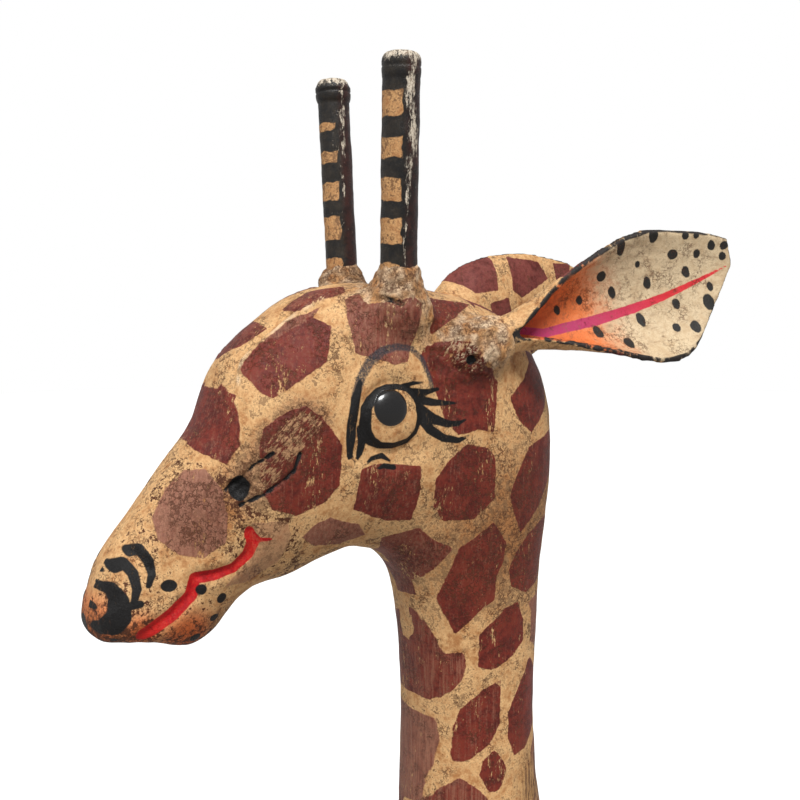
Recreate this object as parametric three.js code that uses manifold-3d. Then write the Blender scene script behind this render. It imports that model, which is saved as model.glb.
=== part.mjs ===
// A standing giraffe statue, carved in wood and put together from glued and dowelled pieces.
// Millimetres, +Z up. The giraffe faces -Y, its left side is +X, and it stands on z = 0.
// Head and neck are one carving and the trunk another. Horns, ears, tail and legs are let in.

import * as THREE from "three";
import { mergeVertices } from "three/addons/utils/BufferGeometryUtils.js";
import Module from "manifold-3d";

const wasm = await Module();
wasm.setup();

// ---------------------------------------------------------------- driving dimensions
const EYE_LEVEL = 1500; // height of the head's own zero, level with the eyes
const GLUE_GAP = 0.3; // clear space left in every glued joint
const FORWARD = 208; // the drawing's y zero lies this far in front of the statue's middle
const HORN = { left: 9.5, right: 8.8, tenon: 6, depth: 28, foot: [31, -19, 59], tip: [38, -21, 175] };
const EAR = { root: [41, 24, 32], spread: 12, thick: 4, plug: 9.5, tenon: 6, depth: 24, turnIn: 40 };
const EAR_RISE = { left: 17, right: 11.5 }; // degrees; the right ear was let in a little lower
const NECK_PEG = { radius: 14, length: 150, apart: 90 };
const LEG_PEG = { radius: 8, length: 84, apart: 44 };
const LEG_TOP = 700; // height of the glued faces between the trunk and the legs
const TAIL = { root: [0, 541, 800], tenon: 7, depth: 26 };

// ---------------------------------------------------------------- paint and wood
const paint = (color, roughness) => new THREE.MeshStandardMaterial({ color, roughness, metalness: 0 });
const creamPaint = paint(0xcfa56d, 0.6);
const blackPaint = paint(0x22201f, 0.45);
const filler = paint(0xd9c096, 0.8);
const bareWood = paint(0xb98f5e, 0.75);

// ---------------------------------------------------------------- solids and meshes
// A closed three.js geometry as a manifold-3d solid, with every face turned outwards.
function solidOf(geometry) {
  const bare = geometry.clone();
  for (const name of Object.keys(bare.attributes)) if (name !== "position") bare.deleteAttribute(name);
  const merged = mergeVertices(bare, 1e-4);
  const corners = new Uint32Array(merged.index.array);
  const build = () =>
    new wasm.Manifold(
      new wasm.Mesh({ numProp: 3, vertProperties: merged.attributes.position.array, triVerts: corners }),
    );
  const first = build();
  if (first.volume() > 0) return first;
  for (let i = 0; i < corners.length; i += 3) {
    [corners[i + 1], corners[i + 2]] = [corners[i + 2], corners[i + 1]];
  }
  return build();
}

// A manifold-3d solid as a named three.js mesh.
function piece(name, solid, material) {
  const { vertProperties, triVerts } = solid.getMesh();
  const geometry = new THREE.BufferGeometry();
  geometry.setAttribute("position", new THREE.BufferAttribute(vertProperties, 3));
  geometry.setIndex(new THREE.BufferAttribute(triVerts, 1));
  geometry.computeVertexNormals();
  const mesh = new THREE.Mesh(geometry, material);
  mesh.name = name;
  return mesh;
}

// A closed skin over rings that all have the same number of points. Its flat ends are fans of
// triangles, or ladders of them for a bent leaf, whose rings run up one face and down the other.
function skin(rings, ladderEnds = false) {
  const count = rings[0].length;
  const points = rings.flat();
  const faces = [];
  const last = (rings.length - 1) * count;
  for (let i = 0; i < count; i++) {
    const next = (i + 1) % count;
    for (let start = 0; start < last; start += count) {
      faces.push(start + i, start + next, start + next + count);
      faces.push(start + i, start + next + count, start + i + count);
    }
  }
  if (ladderEnds) {
    for (let i = 0; i < count / 2 - 1; i++) {
      const [a, b, c, d] = [i, i + 1, count - 2 - i, count - 1 - i];
      faces.push(c, b, a, d, c, a, last + a, last + b, last + c, last + a, last + c, last + d);
    }
  } else {
    for (const ring of [rings[0], rings[rings.length - 1]]) {
      points.push(ring.reduce((sum, p) => sum.add(p), new THREE.Vector3()).divideScalar(count));
    }
    for (let i = 0; i < count; i++) {
      const next = (i + 1) % count;
      faces.push(points.length - 2, next, i, points.length - 1, last + i, last + next);
    }
  }
  return new THREE.BufferGeometry().setFromPoints(points).setIndex(faces);
}

// A row of numbers for every step of a smooth curve through the rows of a table.
function smoothRows(table, perStation) {
  const curves = [];
  for (let c = 0; c < table[0].length; c += 3) {
    const corners = table.map((row) => new THREE.Vector3(row[c], row[c + 1] ?? 0, row[c + 2] ?? 0));
    curves.push(new THREE.CatmullRomCurve3(corners, false, "catmullrom", 0.5));
  }
  const steps = (table.length - 1) * perStation;
  return Array.from({ length: steps + 1 }, (_, i) => curves.flatMap((c) => c.getPoint(i / steps).toArray()));
}

// Rings of the head, the neck and the trunk. A row of the table is: back y and z, throat y and z,
// half width, squareness (2 is an ellipse, more is boxier), and the width kept at back and throat.
function bodyRings(table, perStation, points) {
  return smoothRows(table, perStation).map(([by, bz, ty, tz, half, square, back, throat]) => {
    const rounded = (v) => Math.sign(v) * Math.abs(v) ** (2 / square);
    return Array.from({ length: points }, (_, i) => {
      const angle = (i / points) * 2 * Math.PI;
      const along = rounded(Math.cos(angle));
      const kept = 1 + ((along > 0 ? back : throat) - 1) * along * along;
      const share = (1 + along) / 2;
      return new THREE.Vector3(
        half * kept * rounded(Math.sin(angle)),
        THREE.MathUtils.lerp(ty, by, share),
        THREE.MathUtils.lerp(tz, bz, share),
      );
    });
  });
}

// Rings of a leg or a stump, level ones. A row is: height, middle x and y, half width, half depth.
function limbRings(table, perStation, points) {
  return smoothRows(table, perStation).map(([z, x, y, halfX, halfY]) =>
    Array.from({ length: points }, (_, i) => {
      const angle = (i / points) * 2 * Math.PI;
      return new THREE.Vector3(x + halfX * Math.cos(angle), y + halfY * Math.sin(angle), z);
    }),
  );
}

// A turned rod from one point to another: rows of radius and distance from the first point.
function turned(from, to, profile, segments) {
  const outline = [[0, profile[0][1]], ...profile, [0, profile[profile.length - 1][1]]];
  const lathe = new THREE.LatheGeometry(outline.map(([r, h]) => new THREE.Vector2(r, h)), segments);
  const direction = to.clone().sub(from).normalize();
  lathe.applyQuaternion(new THREE.Quaternion().setFromUnitVectors(new THREE.Vector3(0, 1, 0), direction));
  return lathe.translate(from.x, from.y, from.z);
}

// The rod of a peg with its middle at a point, and the drilled hole that takes it.
function peg({ radius, length }, middle, direction, spare) {
  const end = direction.clone().multiplyScalar(length / 2 + spare);
  const profile = [[radius + spare, 0], [radius + spare, length + 2 * spare]];
  return solidOf(turned(middle.clone().sub(end), middle.clone().add(end), profile, 16));
}

const onHead = (side, [x, y, z]) => new THREE.Vector3(side * x, y, z + EYE_LEVEL);
const SIDES = [["left", 1], ["right", -1]];

const statue = new THREE.Group();
statue.position.y = -FORWARD;

// ---------------------------------------------------------------- the carved blanks
// Heights of the head and neck count from EYE_LEVEL. The first row is the glued face.
const SHOULDER = [196, -492, 6, -606, 64, 2.2, 0.8, 0.9];
const HEAD_AND_NECK = [
  SHOULDER,
  [152, -420, -2, -500, 56, 2.2, 0.85, 0.95],
  [116, -340, 2, -380, 47, 2.2, 0.9, 1],
  [93, -260, 5, -270, 41, 2.2, 0.95, 1],
  [85, -195, 7, -190, 38, 2.2, 1, 1],
  [85, -140, 5, -138, 39, 2.2, 1, 1],
  [87, -87, -1, -102, 41, 2.3, 1, 0.95],
  [91, -43, -12, -87, 44, 2.4, 1, 0.85],
  [90, -4, -19, -81, 46, 2.5, 0.95, 0.8],
  [77, 30, -25, -79, 46, 2.6, 0.92, 0.78],
  [49, 51, -33, -77, 46, 2.8, 0.93, 0.76],
  [15, 60, -41, -75, 45, 3, 0.97, 0.75],
  [-20, 64, -49, -77, 44, 3.2, 1, 0.75],
  [-54, 61, -58, -80, 42, 3, 0.95, 0.75],
  [-82, 46, -69, -86, 39, 2.6, 0.84, 0.76],
  [-104, 25, -80, -88, 36, 2.6, 0.86, 0.8],
  [-115, -3, -91, -89, 32, 2.6, 0.88, 0.84],
  [-133, -25, -102, -96, 29.5, 2.6, 0.9, 0.86],
  [-150, -47, -112, -109, 28, 2.6, 0.92, 0.88],
  [-163, -64, -126, -114, 27.5, 2.6, 0.92, 0.86],
  [-170, -80, -142, -107, 26.5, 2.5, 0.9, 0.84],
  [-173, -94, -152, -104, 22, 2.3, 0.9, 0.9],
  [-171, -101, -160, -106, 13, 2.2, 1, 1],
];
const raised = (row) => row.map((value, i) => (i === 1 || i === 3 ? value + EYE_LEVEL : value));
const headBlank = solidOf(skin(bodyRings(HEAD_AND_NECK.map(raised), 2, 32)));

const shoulderBack = new THREE.Vector3(0, SHOULDER[0], SHOULDER[1] + EYE_LEVEL);
const shoulderThroat = new THREE.Vector3(0, SHOULDER[2], SHOULDER[3] + EYE_LEVEL);
const shoulderLine = shoulderBack.clone().sub(shoulderThroat).normalize();
const upTheNeck = new THREE.Vector3(0, -shoulderLine.z, shoulderLine.y);

// The trunk starts at the same face, a glue gap lower, and turns down and back to the rump.
const dropped = raised(SHOULDER);
dropped[0] -= upTheNeck.y * GLUE_GAP;
dropped[1] -= upTheNeck.z * GLUE_GAP;
dropped[2] -= upTheNeck.y * GLUE_GAP;
dropped[3] -= upTheNeck.z * GLUE_GAP;
const TRUNK = [
  dropped,
  [232, 985, -10, 838, 74, 2.2, 0.75, 0.9],
  [275, 966, -2, 768, 81, 2.3, 0.7, 0.9],
  [330, 944, 78, 716, 86, 2.3, 0.7, 0.85],
  [388, 918, 200, 692, 88, 2.3, 0.72, 0.85],
  [440, 892, 320, 698, 86, 2.3, 0.75, 0.85],
  [492, 860, 430, 702, 80, 2.3, 0.8, 0.9],
  [530, 820, 492, 706, 68, 2.2, 0.9, 1],
  [544, 780, 520, 722, 44, 2.2, 1, 1],
];
const trunkBlank = solidOf(skin(bodyRings(TRUNK, 2, 32)));

// A limb is one run of rows from inside the trunk to the sole; the glued face cuts it in two.
const FRONT_LIMB = [
  [860, 40, 124, 20, 46],
  [790, 55, 114, 34, 62],
  [710, 65, 111, 36, 56],
  [600, 66, 114, 31, 42],
  [480, 64, 120, 25, 31],
  [372, 63, 120, 22, 26],
  [335, 63, 117, 23, 29],
  [295, 63, 119, 19, 23],
  [190, 62, 122, 16, 18],
  [105, 62, 122, 17, 19],
  [72, 62, 118, 20, 24],
  [48, 62, 114, 21, 26],
  [34, 62, 112, 25, 31],
  [0, 62, 110, 28, 36],
];
const HIND_LIMB = [
  [820, 36, 448, 20, 44],
  [768, 50, 456, 33, 68],
  [700, 60, 465, 37, 65],
  [600, 61, 474, 33, 52],
  [490, 60, 488, 25, 36],
  [400, 60, 502, 21, 29],
  [352, 60, 508, 20, 29],
  [310, 60, 504, 18, 22],
  [200, 60, 498, 16, 18],
  [105, 60, 494, 17, 19],
  [72, 60, 490, 20, 24],
  [48, 60, 486, 21, 26],
  [34, 60, 484, 25, 31],
  [0, 60, 482, 28, 36],
];
const LIMBS = { front: FRONT_LIMB, hind: HIND_LIMB };
const limbSolid = (table, side) => {
  const mirrored = table.map(([z, x, ...rest]) => [z, side * x, ...rest]);
  return solidOf(skin(limbRings(mirrored, 2, 20)));
};
// A block that reaches well past the statue, below a height.
function blockBelow(height) {
  const reach = 1000;
  return solidOf(new THREE.BoxGeometry(reach, 2 * reach, reach).translate(0, 0, height - reach / 2));
}

// ---------------------------------------------------------------- legs, pegs and trunk
// The same blank moved a glue gap outwards all round is near enough a few shifted copies of it.
function fattened(blank) {
  const steps = [[1, 0, 0], [-1, 0, 0], [0, 1, 0], [0, -1, 0], [0, 0, 1], [0, 0, -1]];
  return steps.reduce((sum, step) => sum.add(blank.translate(step.map((v) => v * GLUE_GAP))), blank);
}

// Every pegged joint leaves a hole in both of its pieces.
const pegHoles = [];
function pegged(name, size, middle, direction) {
  statue.add(piece(name, peg(size, middle, direction, 0), bareWood));
  pegHoles.push(peg(size, middle, direction, GLUE_GAP));
}
const drilled = (solid) => pegHoles.reduce((left, hole) => left.subtract(hole), solid);

const upright = new THREE.Vector3(0, 0, 1);
const shoulders = [];
const lowerLegs = [];
for (const [end, table] of Object.entries(LIMBS)) {
  const [, x, y] = table.find(([height]) => height <= LEG_TOP + 20);
  for (const [side, sign] of SIDES) {
    const name = `leg_${end}_${side}`;
    const limb = limbSolid(table, sign);
    shoulders.push(limb.subtract(blockBelow(LEG_TOP)));
    lowerLegs.push([name, limb.intersect(blockBelow(LEG_TOP - GLUE_GAP))]);
    for (const [place, step] of [["front", -1], ["rear", 1]]) {
      const middle = new THREE.Vector3(sign * x, y + (step * LEG_PEG.apart) / 2, LEG_TOP);
      pegged(`${name}_peg_${place}`, LEG_PEG, middle, upright);
    }
  }
}
let trunk = shoulders.reduce((sum, limb) => sum.add(limb), trunkBlank);
const fatTrunk = fattened(trunk);
for (const [name, leg] of lowerLegs) {
  statue.add(piece(name, drilled(leg.subtract(fatTrunk)), creamPaint));
}

const shoulderMiddle = shoulderBack.clone().add(shoulderThroat).multiplyScalar(0.5);
for (const [place, step] of [["throat", -1], ["withers", 1]]) {
  const at = shoulderMiddle.clone().addScaledVector(shoulderLine, (step * NECK_PEG.apart) / 2);
  pegged(`neck_peg_${place}`, NECK_PEG, at, upTheNeck);
}

// ---------------------------------------------------------------- tail
const tailRoot = new THREE.Vector3(...TAIL.root);
const TAIL_PATH = [[0, 0], [14, 2], [25, -16], [30, -70], [32, -160], [34, -250], [35, -330]];
const TAIL_RADII = [[10, 0], [10, 0.07], [8, 0.25], [6, 0.6], [6.5, 0.68], [13, 0.78], [12, 0.9], [3, 1]];
const tailCurve = new THREE.CatmullRomCurve3(
  TAIL_PATH.map(([y, z]) => new THREE.Vector3(tailRoot.x, tailRoot.y + y, tailRoot.z + z)),
);
function tailRings(steps, points) {
  return Array.from({ length: steps + 1 }, (_, i) => {
    const share = i / steps;
    const at = tailCurve.getPointAt(share);
    const along = tailCurve.getTangentAt(share);
    const lift = new THREE.Vector3(0, -along.z, along.y);
    const k = TAIL_RADII.findIndex(([, s]) => s >= share);
    const [r1, s1] = TAIL_RADII[Math.max(k, 1)];
    const [r0, s0] = TAIL_RADII[Math.max(k, 1) - 1];
    const radius = THREE.MathUtils.mapLinear(THREE.MathUtils.smoothstep(share, s0, s1), 0, 1, r0, r1);
    return Array.from({ length: points }, (_, j) => {
      const angle = (j / points) * 2 * Math.PI;
      const across = new THREE.Vector3(radius * Math.cos(angle), 0, 0);
      return at.clone().add(across).addScaledVector(lift, radius * Math.sin(angle));
    });
  });
}
const tailStart = tailRoot.clone().setY(tailRoot.y - TAIL.depth);
const tailEnd = tailRoot.clone().setY(tailRoot.y + TAIL.tenon);
const tenonReach = TAIL.depth + TAIL.tenon;
const tailTenon = solidOf(turned(tailStart, tailEnd, [[TAIL.tenon, 0], [TAIL.tenon, tenonReach]], 16));
const tailHoleProfile = [[TAIL.tenon + GLUE_GAP, -GLUE_GAP], [TAIL.tenon + GLUE_GAP, tenonReach]];
const tailHole = solidOf(turned(tailStart, tailEnd, tailHoleProfile, 16));
const tailBody = solidOf(skin(tailRings(30, 16)));

trunk = drilled(trunk.subtract(tailHole));
statue.add(piece("tail", tailBody.subtract(fatTrunk).add(tailTenon), creamPaint));
statue.add(piece("trunk", trunk, creamPaint));

// ---------------------------------------------------------------- head: horns and ears
let head = drilled(headBlank);
const fatHead = fattened(headBlank);

// A horn is a turned rod with a grooved knob. Its foot follows the head and a tenon goes in.
for (const [side, sign] of SIDES) {
  const radius = HORN[side];
  const foot = onHead(sign, HORN.foot);
  const tip = onHead(sign, HORN.tip);
  const length = tip.distanceTo(foot);
  const rod = (profile) => solidOf(turned(foot, tip, profile, 20));
  const body = rod([
    [radius * 0.98, -16],
    [radius, length - 19],
    [radius * 0.98, length - 16],
    [radius * 1.12, length - 11],
    [radius * 1.14, length - 6],
    [radius * 1.02, length - 2],
    [radius * 0.72, length],
  ]);
  const tenon = rod([[HORN.tenon, -HORN.depth], [HORN.tenon, 8]]);
  statue.add(piece(`horn_${side}`, body.subtract(fatHead).add(tenon), blackPaint));
  const hole = HORN.tenon + GLUE_GAP;
  head = head.subtract(rod([[hole, -HORN.depth - GLUE_GAP], [hole, 16]]));
  const collar = rod([
    [radius + 1.5, -18],
    [radius + 4.5, -12],
    [radius + 6, -5],
    [radius + 4.2, 3],
    [radius + 2.3, 10],
    [radius + 1.3, 18],
    [radius + 0.8, 24],
  ]);
  const room = rod([[radius + GLUE_GAP, -24], [radius + GLUE_GAP, length / 2]]);
  statue.add(piece(`horn_filler_${side}`, collar.subtract(room).subtract(fatHead), filler));
}

// An ear is a leaf rolled nearly shut at its foot. A row is: distance from the foot, how far
// inwards the back of the leaf lies, the roll's radius, and the leaf above and below the middle.
const EAR_FOOT = [[0, 10, 10, 29, 27], [22, 11, 11, 32, 31]];
const EAR_TIP = [
  [114, 12, 60, 31, 50],
  [127, 10.5, 68, 26, 42],
  [141, 9.5, 72, 21, 29],
  [153, 9, 74, 16, 17],
  [163, 8, 75, 10, 6],
];
const EAR_LEAF = {
  left: [...EAR_FOOT, [45, 13, 18, 32, 40], [70, 14, 28.5, 31, 46], [95, 13, 46, 33, 52], ...EAR_TIP],
  right: [...EAR_FOOT, [45, 13, 20, 38, 40], [66, 14, 36, 39, 46], [92, 13, 50, 36, 52], ...EAR_TIP],
};
const leafSkin = (rows) =>
  skin(
    smoothRows(rows, 2).map(([reach, back, radius, upper, lower]) => {
      const steps = 11;
      const face = (r) =>
        Array.from({ length: steps + 1 }, (_, i) => {
          const angle = THREE.MathUtils.lerp(-lower, upper, i / steps) / radius;
          return new THREE.Vector3(radius - back - r * Math.cos(angle), reach, r * Math.sin(angle));
        });
      return [...face(radius), ...face(radius - EAR.thick).reverse()];
    }),
    true,
  );
// The same leaf with its solid foot, the tenon, and the hole and the collar that go with them.
const earFoot = new THREE.Vector3();
const alongEar = (profile) => turned(earFoot, new THREE.Vector3(0, 1, 0), profile, 20);
const turnIn = THREE.MathUtils.degToRad(EAR.turnIn);
const intoHead = (profile) =>
  turned(earFoot, new THREE.Vector3(Math.sin(turnIn), Math.cos(turnIn), 0), profile, 20);
const earHoleRadius = EAR.tenon + GLUE_GAP;
const earRoom = EAR_FOOT[1][2] + 2 * GLUE_GAP;
const earPlug = alongEar([[EAR.plug, 0], [EAR.plug, 20]]);
const earTenon = intoHead([[EAR.tenon, -EAR.depth], [EAR.tenon, 3]]);
const earHole = intoHead([[earHoleRadius, -EAR.depth - GLUE_GAP], [earHoleRadius, 12]]);
const earCollarRoom = alongEar([[earRoom, -20], [earRoom, 40]]);
const earCollar = alongEar([
  [earRoom + 0.8, -14],
  [earRoom + 3.2, -8],
  [earRoom + 4, -1],
  [earRoom + 3, 6],
  [earRoom + 1.8, 12],
  [earRoom + 0.9, 17],
]);
for (const [side, sign] of SIDES) {
  const place = new THREE.Matrix4()
    .makeScale(sign, 1, 1)
    .multiply(new THREE.Matrix4().makeTranslation(onHead(1, EAR.root)))
    .multiply(new THREE.Matrix4().makeRotationZ(-THREE.MathUtils.degToRad(EAR.spread)))
    .multiply(new THREE.Matrix4().makeRotationX(THREE.MathUtils.degToRad(EAR_RISE[side])));
  const placed = (geometry) => solidOf(geometry.clone().applyMatrix4(place));
  const leaf = placed(leafSkin(EAR_LEAF[side])).add(placed(earPlug)).subtract(fatHead).add(placed(earTenon));
  head = head.subtract(placed(earHole));
  statue.add(piece(`ear_${side}`, leaf, creamPaint));
  const collar = placed(earCollar).subtract(placed(earCollarRoom)).subtract(fatHead);
  statue.add(piece(`ear_filler_${side}`, collar, filler));
}
statue.add(piece("head_and_neck", head, creamPaint));

export default statue;
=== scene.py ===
# %% [markdown]
# # A carved and painted giraffe
# The statue is built from separate carvings: one for the head and neck, one for the trunk, four
# legs, a tail, two horns and two ears. They are glued and pegged together, smoothed over with
# gesso, and painted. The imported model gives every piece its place, and this script gives the
# pieces their carved surface and their old paint.

# %% The fixed frame
import math

import bmesh
import bpy
import numpy as np
from mathutils import Matrix, Vector, noise
from mathutils.bvhtree import BVHTree


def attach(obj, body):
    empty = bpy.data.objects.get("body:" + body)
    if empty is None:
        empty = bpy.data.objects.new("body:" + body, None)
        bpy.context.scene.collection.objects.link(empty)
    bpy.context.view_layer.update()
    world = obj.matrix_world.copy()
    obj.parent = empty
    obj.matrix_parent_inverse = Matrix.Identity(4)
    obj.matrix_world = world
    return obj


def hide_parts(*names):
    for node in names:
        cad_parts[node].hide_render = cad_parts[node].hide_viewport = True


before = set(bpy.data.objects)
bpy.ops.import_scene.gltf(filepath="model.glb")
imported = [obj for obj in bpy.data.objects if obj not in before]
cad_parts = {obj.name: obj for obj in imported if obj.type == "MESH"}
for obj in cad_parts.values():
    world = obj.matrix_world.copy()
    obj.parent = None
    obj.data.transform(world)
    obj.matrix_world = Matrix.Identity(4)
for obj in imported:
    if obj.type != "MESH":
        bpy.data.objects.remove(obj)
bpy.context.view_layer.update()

# %% [markdown]
# ## The place to work from
# A carver measures a head from its eyes, so all the marks on the head are given in millimetres
# from the level of the eyes: x to the giraffe's left, y backwards and z up. Only the finished
# meshes are in metres, in the frame's own place.

# %% The drawing's zero
EYE_LEVEL = 1500.0  # mm above the floor
FORWARD = 208.0  # mm that the drawing's zero lies in front of the statue's middle
ZERO = np.array([0.0, -FORWARD, EYE_LEVEL])


def drawn(mesh):
    """The places of a mesh's vertices on the drawing, in mm from the level of the eyes."""
    flat = np.empty(len(mesh.vertices) * 3)
    mesh.vertices.foreach_get("co", flat)
    return flat.reshape(-1, 3) * 1000 - ZERO


def outward(mesh):
    """The vertex normals of a mesh."""
    flat = np.empty(len(mesh.vertices) * 3)
    mesh.vertex_normals.foreach_get("vector", flat)
    return flat.reshape(-1, 3)


def put_back(mesh, places):
    """Moves a mesh's vertices to places given on the drawing."""
    mesh.vertices.foreach_set("co", ((places + ZERO) / 1000).ravel())
    mesh.update()


def in_scene(name, data):
    """A new object at the origin of the scene."""
    obj = bpy.data.objects.new(name, data)
    bpy.context.scene.collection.objects.link(obj)
    return obj


# %% [markdown]
# ## Camera, light and floor
# The camera stands a little above the eyes, in front and to the left of the head. A wide, soft
# sun shines over the camera's shoulder, a weaker and wider one fills in from the front, and a pale
# sky lights the rest. The sky looks white to the camera but gives only half of that light, so the
# shadows keep some depth. The statue stands on a pale floor.

# %% Camera
HEAD_MIDDLE = Vector((0, -FORWARD, EYE_LEVEL)) / 1000
CAMERA_TURN, CAMERA_LIFT = math.radians(60), math.radians(7)
CAMERA_DISTANCE = 0.522  # m from the middle of the head
SENSOR_WIDTH, LENS = 36, 42.75  # mm
camera_side = Vector((
    math.sin(CAMERA_TURN) * math.cos(CAMERA_LIFT),
    -math.cos(CAMERA_TURN) * math.cos(CAMERA_LIFT),
    math.sin(CAMERA_LIFT),
))
camera = in_scene("camera", bpy.data.cameras.new("camera"))
camera.location = HEAD_MIDDLE + CAMERA_DISTANCE * camera_side
camera.rotation_euler = camera_side.to_track_quat("Z", "Y").to_euler()
camera.data.sensor_width = SENSOR_WIDTH
camera.data.lens = LENS
camera.data.clip_start = 0.01
bpy.context.scene.camera = camera
print("camera at", [round(v, 3) for v in camera.location])

# %% Light
bpy.context.scene.view_settings.view_transform = "Standard"


def sun(name, turn, lift, strength, width):
    """A sun that shines on the statue from a turn and a lift. All its angles are in degrees."""
    lamp = in_scene(name, bpy.data.lights.new(name, "SUN"))
    lamp.data.energy = strength
    lamp.data.angle = math.radians(width)
    lamp.rotation_euler = (math.radians(90 - lift), 0, math.radians(turn))


sun("key_light", turn=72, lift=55, strength=3.75, width=22)
sun("front_light", turn=5, lift=30, strength=0.6, width=50)

# %% Sky
SKY_SEEN, SKY_LIGHT = 1.0, 0.5  # how bright the camera sees it, and how bright it shines


def build_sky():
    sky = bpy.data.worlds.new("sky")
    sky.use_nodes = True
    tree = sky.node_tree
    background = tree.nodes["Background"]
    background.inputs["Color"].default_value = (1, 1, 1, 1)
    path = tree.nodes.new("ShaderNodeLightPath")
    strength = tree.nodes.new("ShaderNodeMapRange")
    strength.inputs["To Min"].default_value = SKY_LIGHT
    strength.inputs["To Max"].default_value = SKY_SEEN
    tree.links.new(path.outputs["Is Camera Ray"], strength.inputs["Value"])
    tree.links.new(strength.outputs["Result"], background.inputs["Strength"])
    return sky


bpy.context.scene.world = build_sky()

# %% Floor
FLOOR_RADIUS = 14  # m


def build_floor():
    mesh = bpy.data.meshes.new("floor")
    bm = bmesh.new()
    bmesh.ops.create_circle(bm, cap_ends=True, segments=96, radius=FLOOR_RADIUS)
    bm.to_mesh(mesh)
    bm.free()
    return in_scene("floor", mesh)


floor = build_floor()

# %% [markdown]
# ## Mixing the finishes
# Every finish is a shader tree. These few words make the trees short to write: one adds a node,
# and the others are the mixing, stepping and spotting that each finish needs. Places on the
# statue come from Object coordinates, turned into millimetres first, so the size of a speck or a
# grain is given in millimetres too.


# %% Words for building a shader tree
def add(tree, kind, inputs=None, **settings):
    """A new node, with its settings, its input values and its links."""
    made = tree.nodes.new(kind)
    for key, value in settings.items():
        setattr(made, key, value)
    for key, value in (inputs or {}).items():
        if isinstance(value, bpy.types.NodeSocket):
            tree.links.new(value, made.inputs[key])
        else:
            made.inputs[key].default_value = value
    return made


def colour(red, green, blue):
    """A colour as a painter's chart gives it, from 0 to 255, as light strengths."""
    return tuple(
        c / 12.92 if c <= 0.04045 else ((c + 0.055) / 1.055) ** 2.4
        for c in (red / 255, green / 255, blue / 255)
    ) + (1.0,)


def reckoned(tree, way, a, b, clamp=False):
    return add(tree, "ShaderNodeMath", {0: a, 1: b}, operation=way, use_clamp=clamp).outputs[0]


def plus(tree, a, b, clamp=False):
    return reckoned(tree, "ADD", a, b, clamp)


def minus(tree, a, b):
    return reckoned(tree, "SUBTRACT", a, b)


def times(tree, a, b, clamp=False):
    return reckoned(tree, "MULTIPLY", a, b, clamp)


def divided(tree, a, b):
    return reckoned(tree, "DIVIDE", a, b)


def larger(tree, a, b):
    return reckoned(tree, "MAXIMUM", a, b)


def step(tree, value, low, high, to=(0.0, 1.0)):
    """Turns softly from to[0] to to[1] as the value goes from low to high."""
    return add(
        tree, "ShaderNodeMapRange",
        {"Value": value, "From Min": low, "From Max": high, "To Min": to[0], "To Max": to[1]},
        interpolation_type="SMOOTHSTEP",
    ).outputs["Result"]


def mix(tree, share, under, over, way="MIX"):
    """The colour over lies on the colour under, as thick as share says."""
    made = add(tree, "ShaderNodeMix", {0: share}, data_type="RGBA", blend_type=way)
    for key, value in ((6, under), (7, over)):
        if isinstance(value, bpy.types.NodeSocket):
            tree.links.new(value, made.inputs[key])
        else:
            made.inputs[key].default_value = value
    return made.outputs[2]


def mottle(tree, place, size, detail=3.0, rough=0.6, stretch=None):
    """Cloudy noise from 0 to 1. Its clouds are size mm across; stretch squeezes it by axis."""
    if stretch:
        place = add(tree, "ShaderNodeMapping", {"Vector": place, "Scale": stretch}).outputs[0]
    values = {"Vector": place, "Scale": 1 / size, "Detail": detail, "Roughness": rough}
    return add(tree, "ShaderNodeTexNoise", values).outputs["Fac"]


def in_millimetres(tree):
    """The place of a point on the statue, in mm."""
    place = add(tree, "ShaderNodeTexCoord").outputs["Object"]
    return add(tree, "ShaderNodeMapping", {"Vector": place, "Scale": (1000, 1000, 1000)}).outputs[0]


def layer(tree, name):
    """A layer that was painted on the mesh."""
    return add(tree, "ShaderNodeAttribute", attribute_name=name).outputs["Fac"]


def new_group(name, inputs, outputs):
    """An empty node group with named number sockets, and its way in and out."""
    group = bpy.data.node_groups.new(name, "ShaderNodeTree")
    for socket, kind, value in inputs:
        made = group.interface.new_socket(socket, in_out="INPUT", socket_type="NodeSocket" + kind)
        if value is not None:
            made.default_value = value
    for socket, kind in outputs:
        group.interface.new_socket(socket, in_out="OUTPUT", socket_type="NodeSocket" + kind)
    return group, group.nodes.new("NodeGroupInput").outputs, group.nodes.new("NodeGroupOutput").inputs


def place_group(tree, group, **inputs):
    """A node group placed in a tree. An underscore in a socket's name stands for a space."""
    made = tree.nodes.new("ShaderNodeGroup")
    made.node_tree = group
    for key, value in inputs.items():
        socket = made.inputs[key.replace("_", " ")]
        if isinstance(value, bpy.types.NodeSocket):
            tree.links.new(value, socket)
        else:
            socket.default_value = value
    return made.outputs


def new_finish(name):
    """A material with an empty tree, its shader and the place of a point in mm."""
    material = bpy.data.materials.new(name)
    material.use_nodes = True
    tree = material.node_tree
    return material, tree, tree.nodes["Principled BSDF"], in_millimetres(tree)


def raise_surface(tree, shader, height, depth_mm):
    """Lets a height from 0 to 1 push the light about, as a relief of that many mm would."""
    bump = add(tree, "ShaderNodeBump", {"Height": height, "Distance": depth_mm / 1000, "Strength": 1.0})
    tree.links.new(bump.outputs["Normal"], shader.inputs["Normal"])


# %% [markdown]
# ## Effects that several finishes share
# Old paint on gesso is never one colour. It is clouded, it holds fine dark dirt in its pores, it
# cracks like a dry pond, and it comes off in flecks. Each of these effects is one node group, and
# each finish places it with its own values.

# %% Dirt in the pores
grime, grime_in, grime_out = new_group(
    "grime in the pores",
    [("Place", "Vector", None), ("Pore size", "Float", 1.4), ("Amount", "Float", 0.5)],
    [("Dirt", "Float"), ("Clouds", "Float"), ("Relief", "Float")],
)


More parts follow.
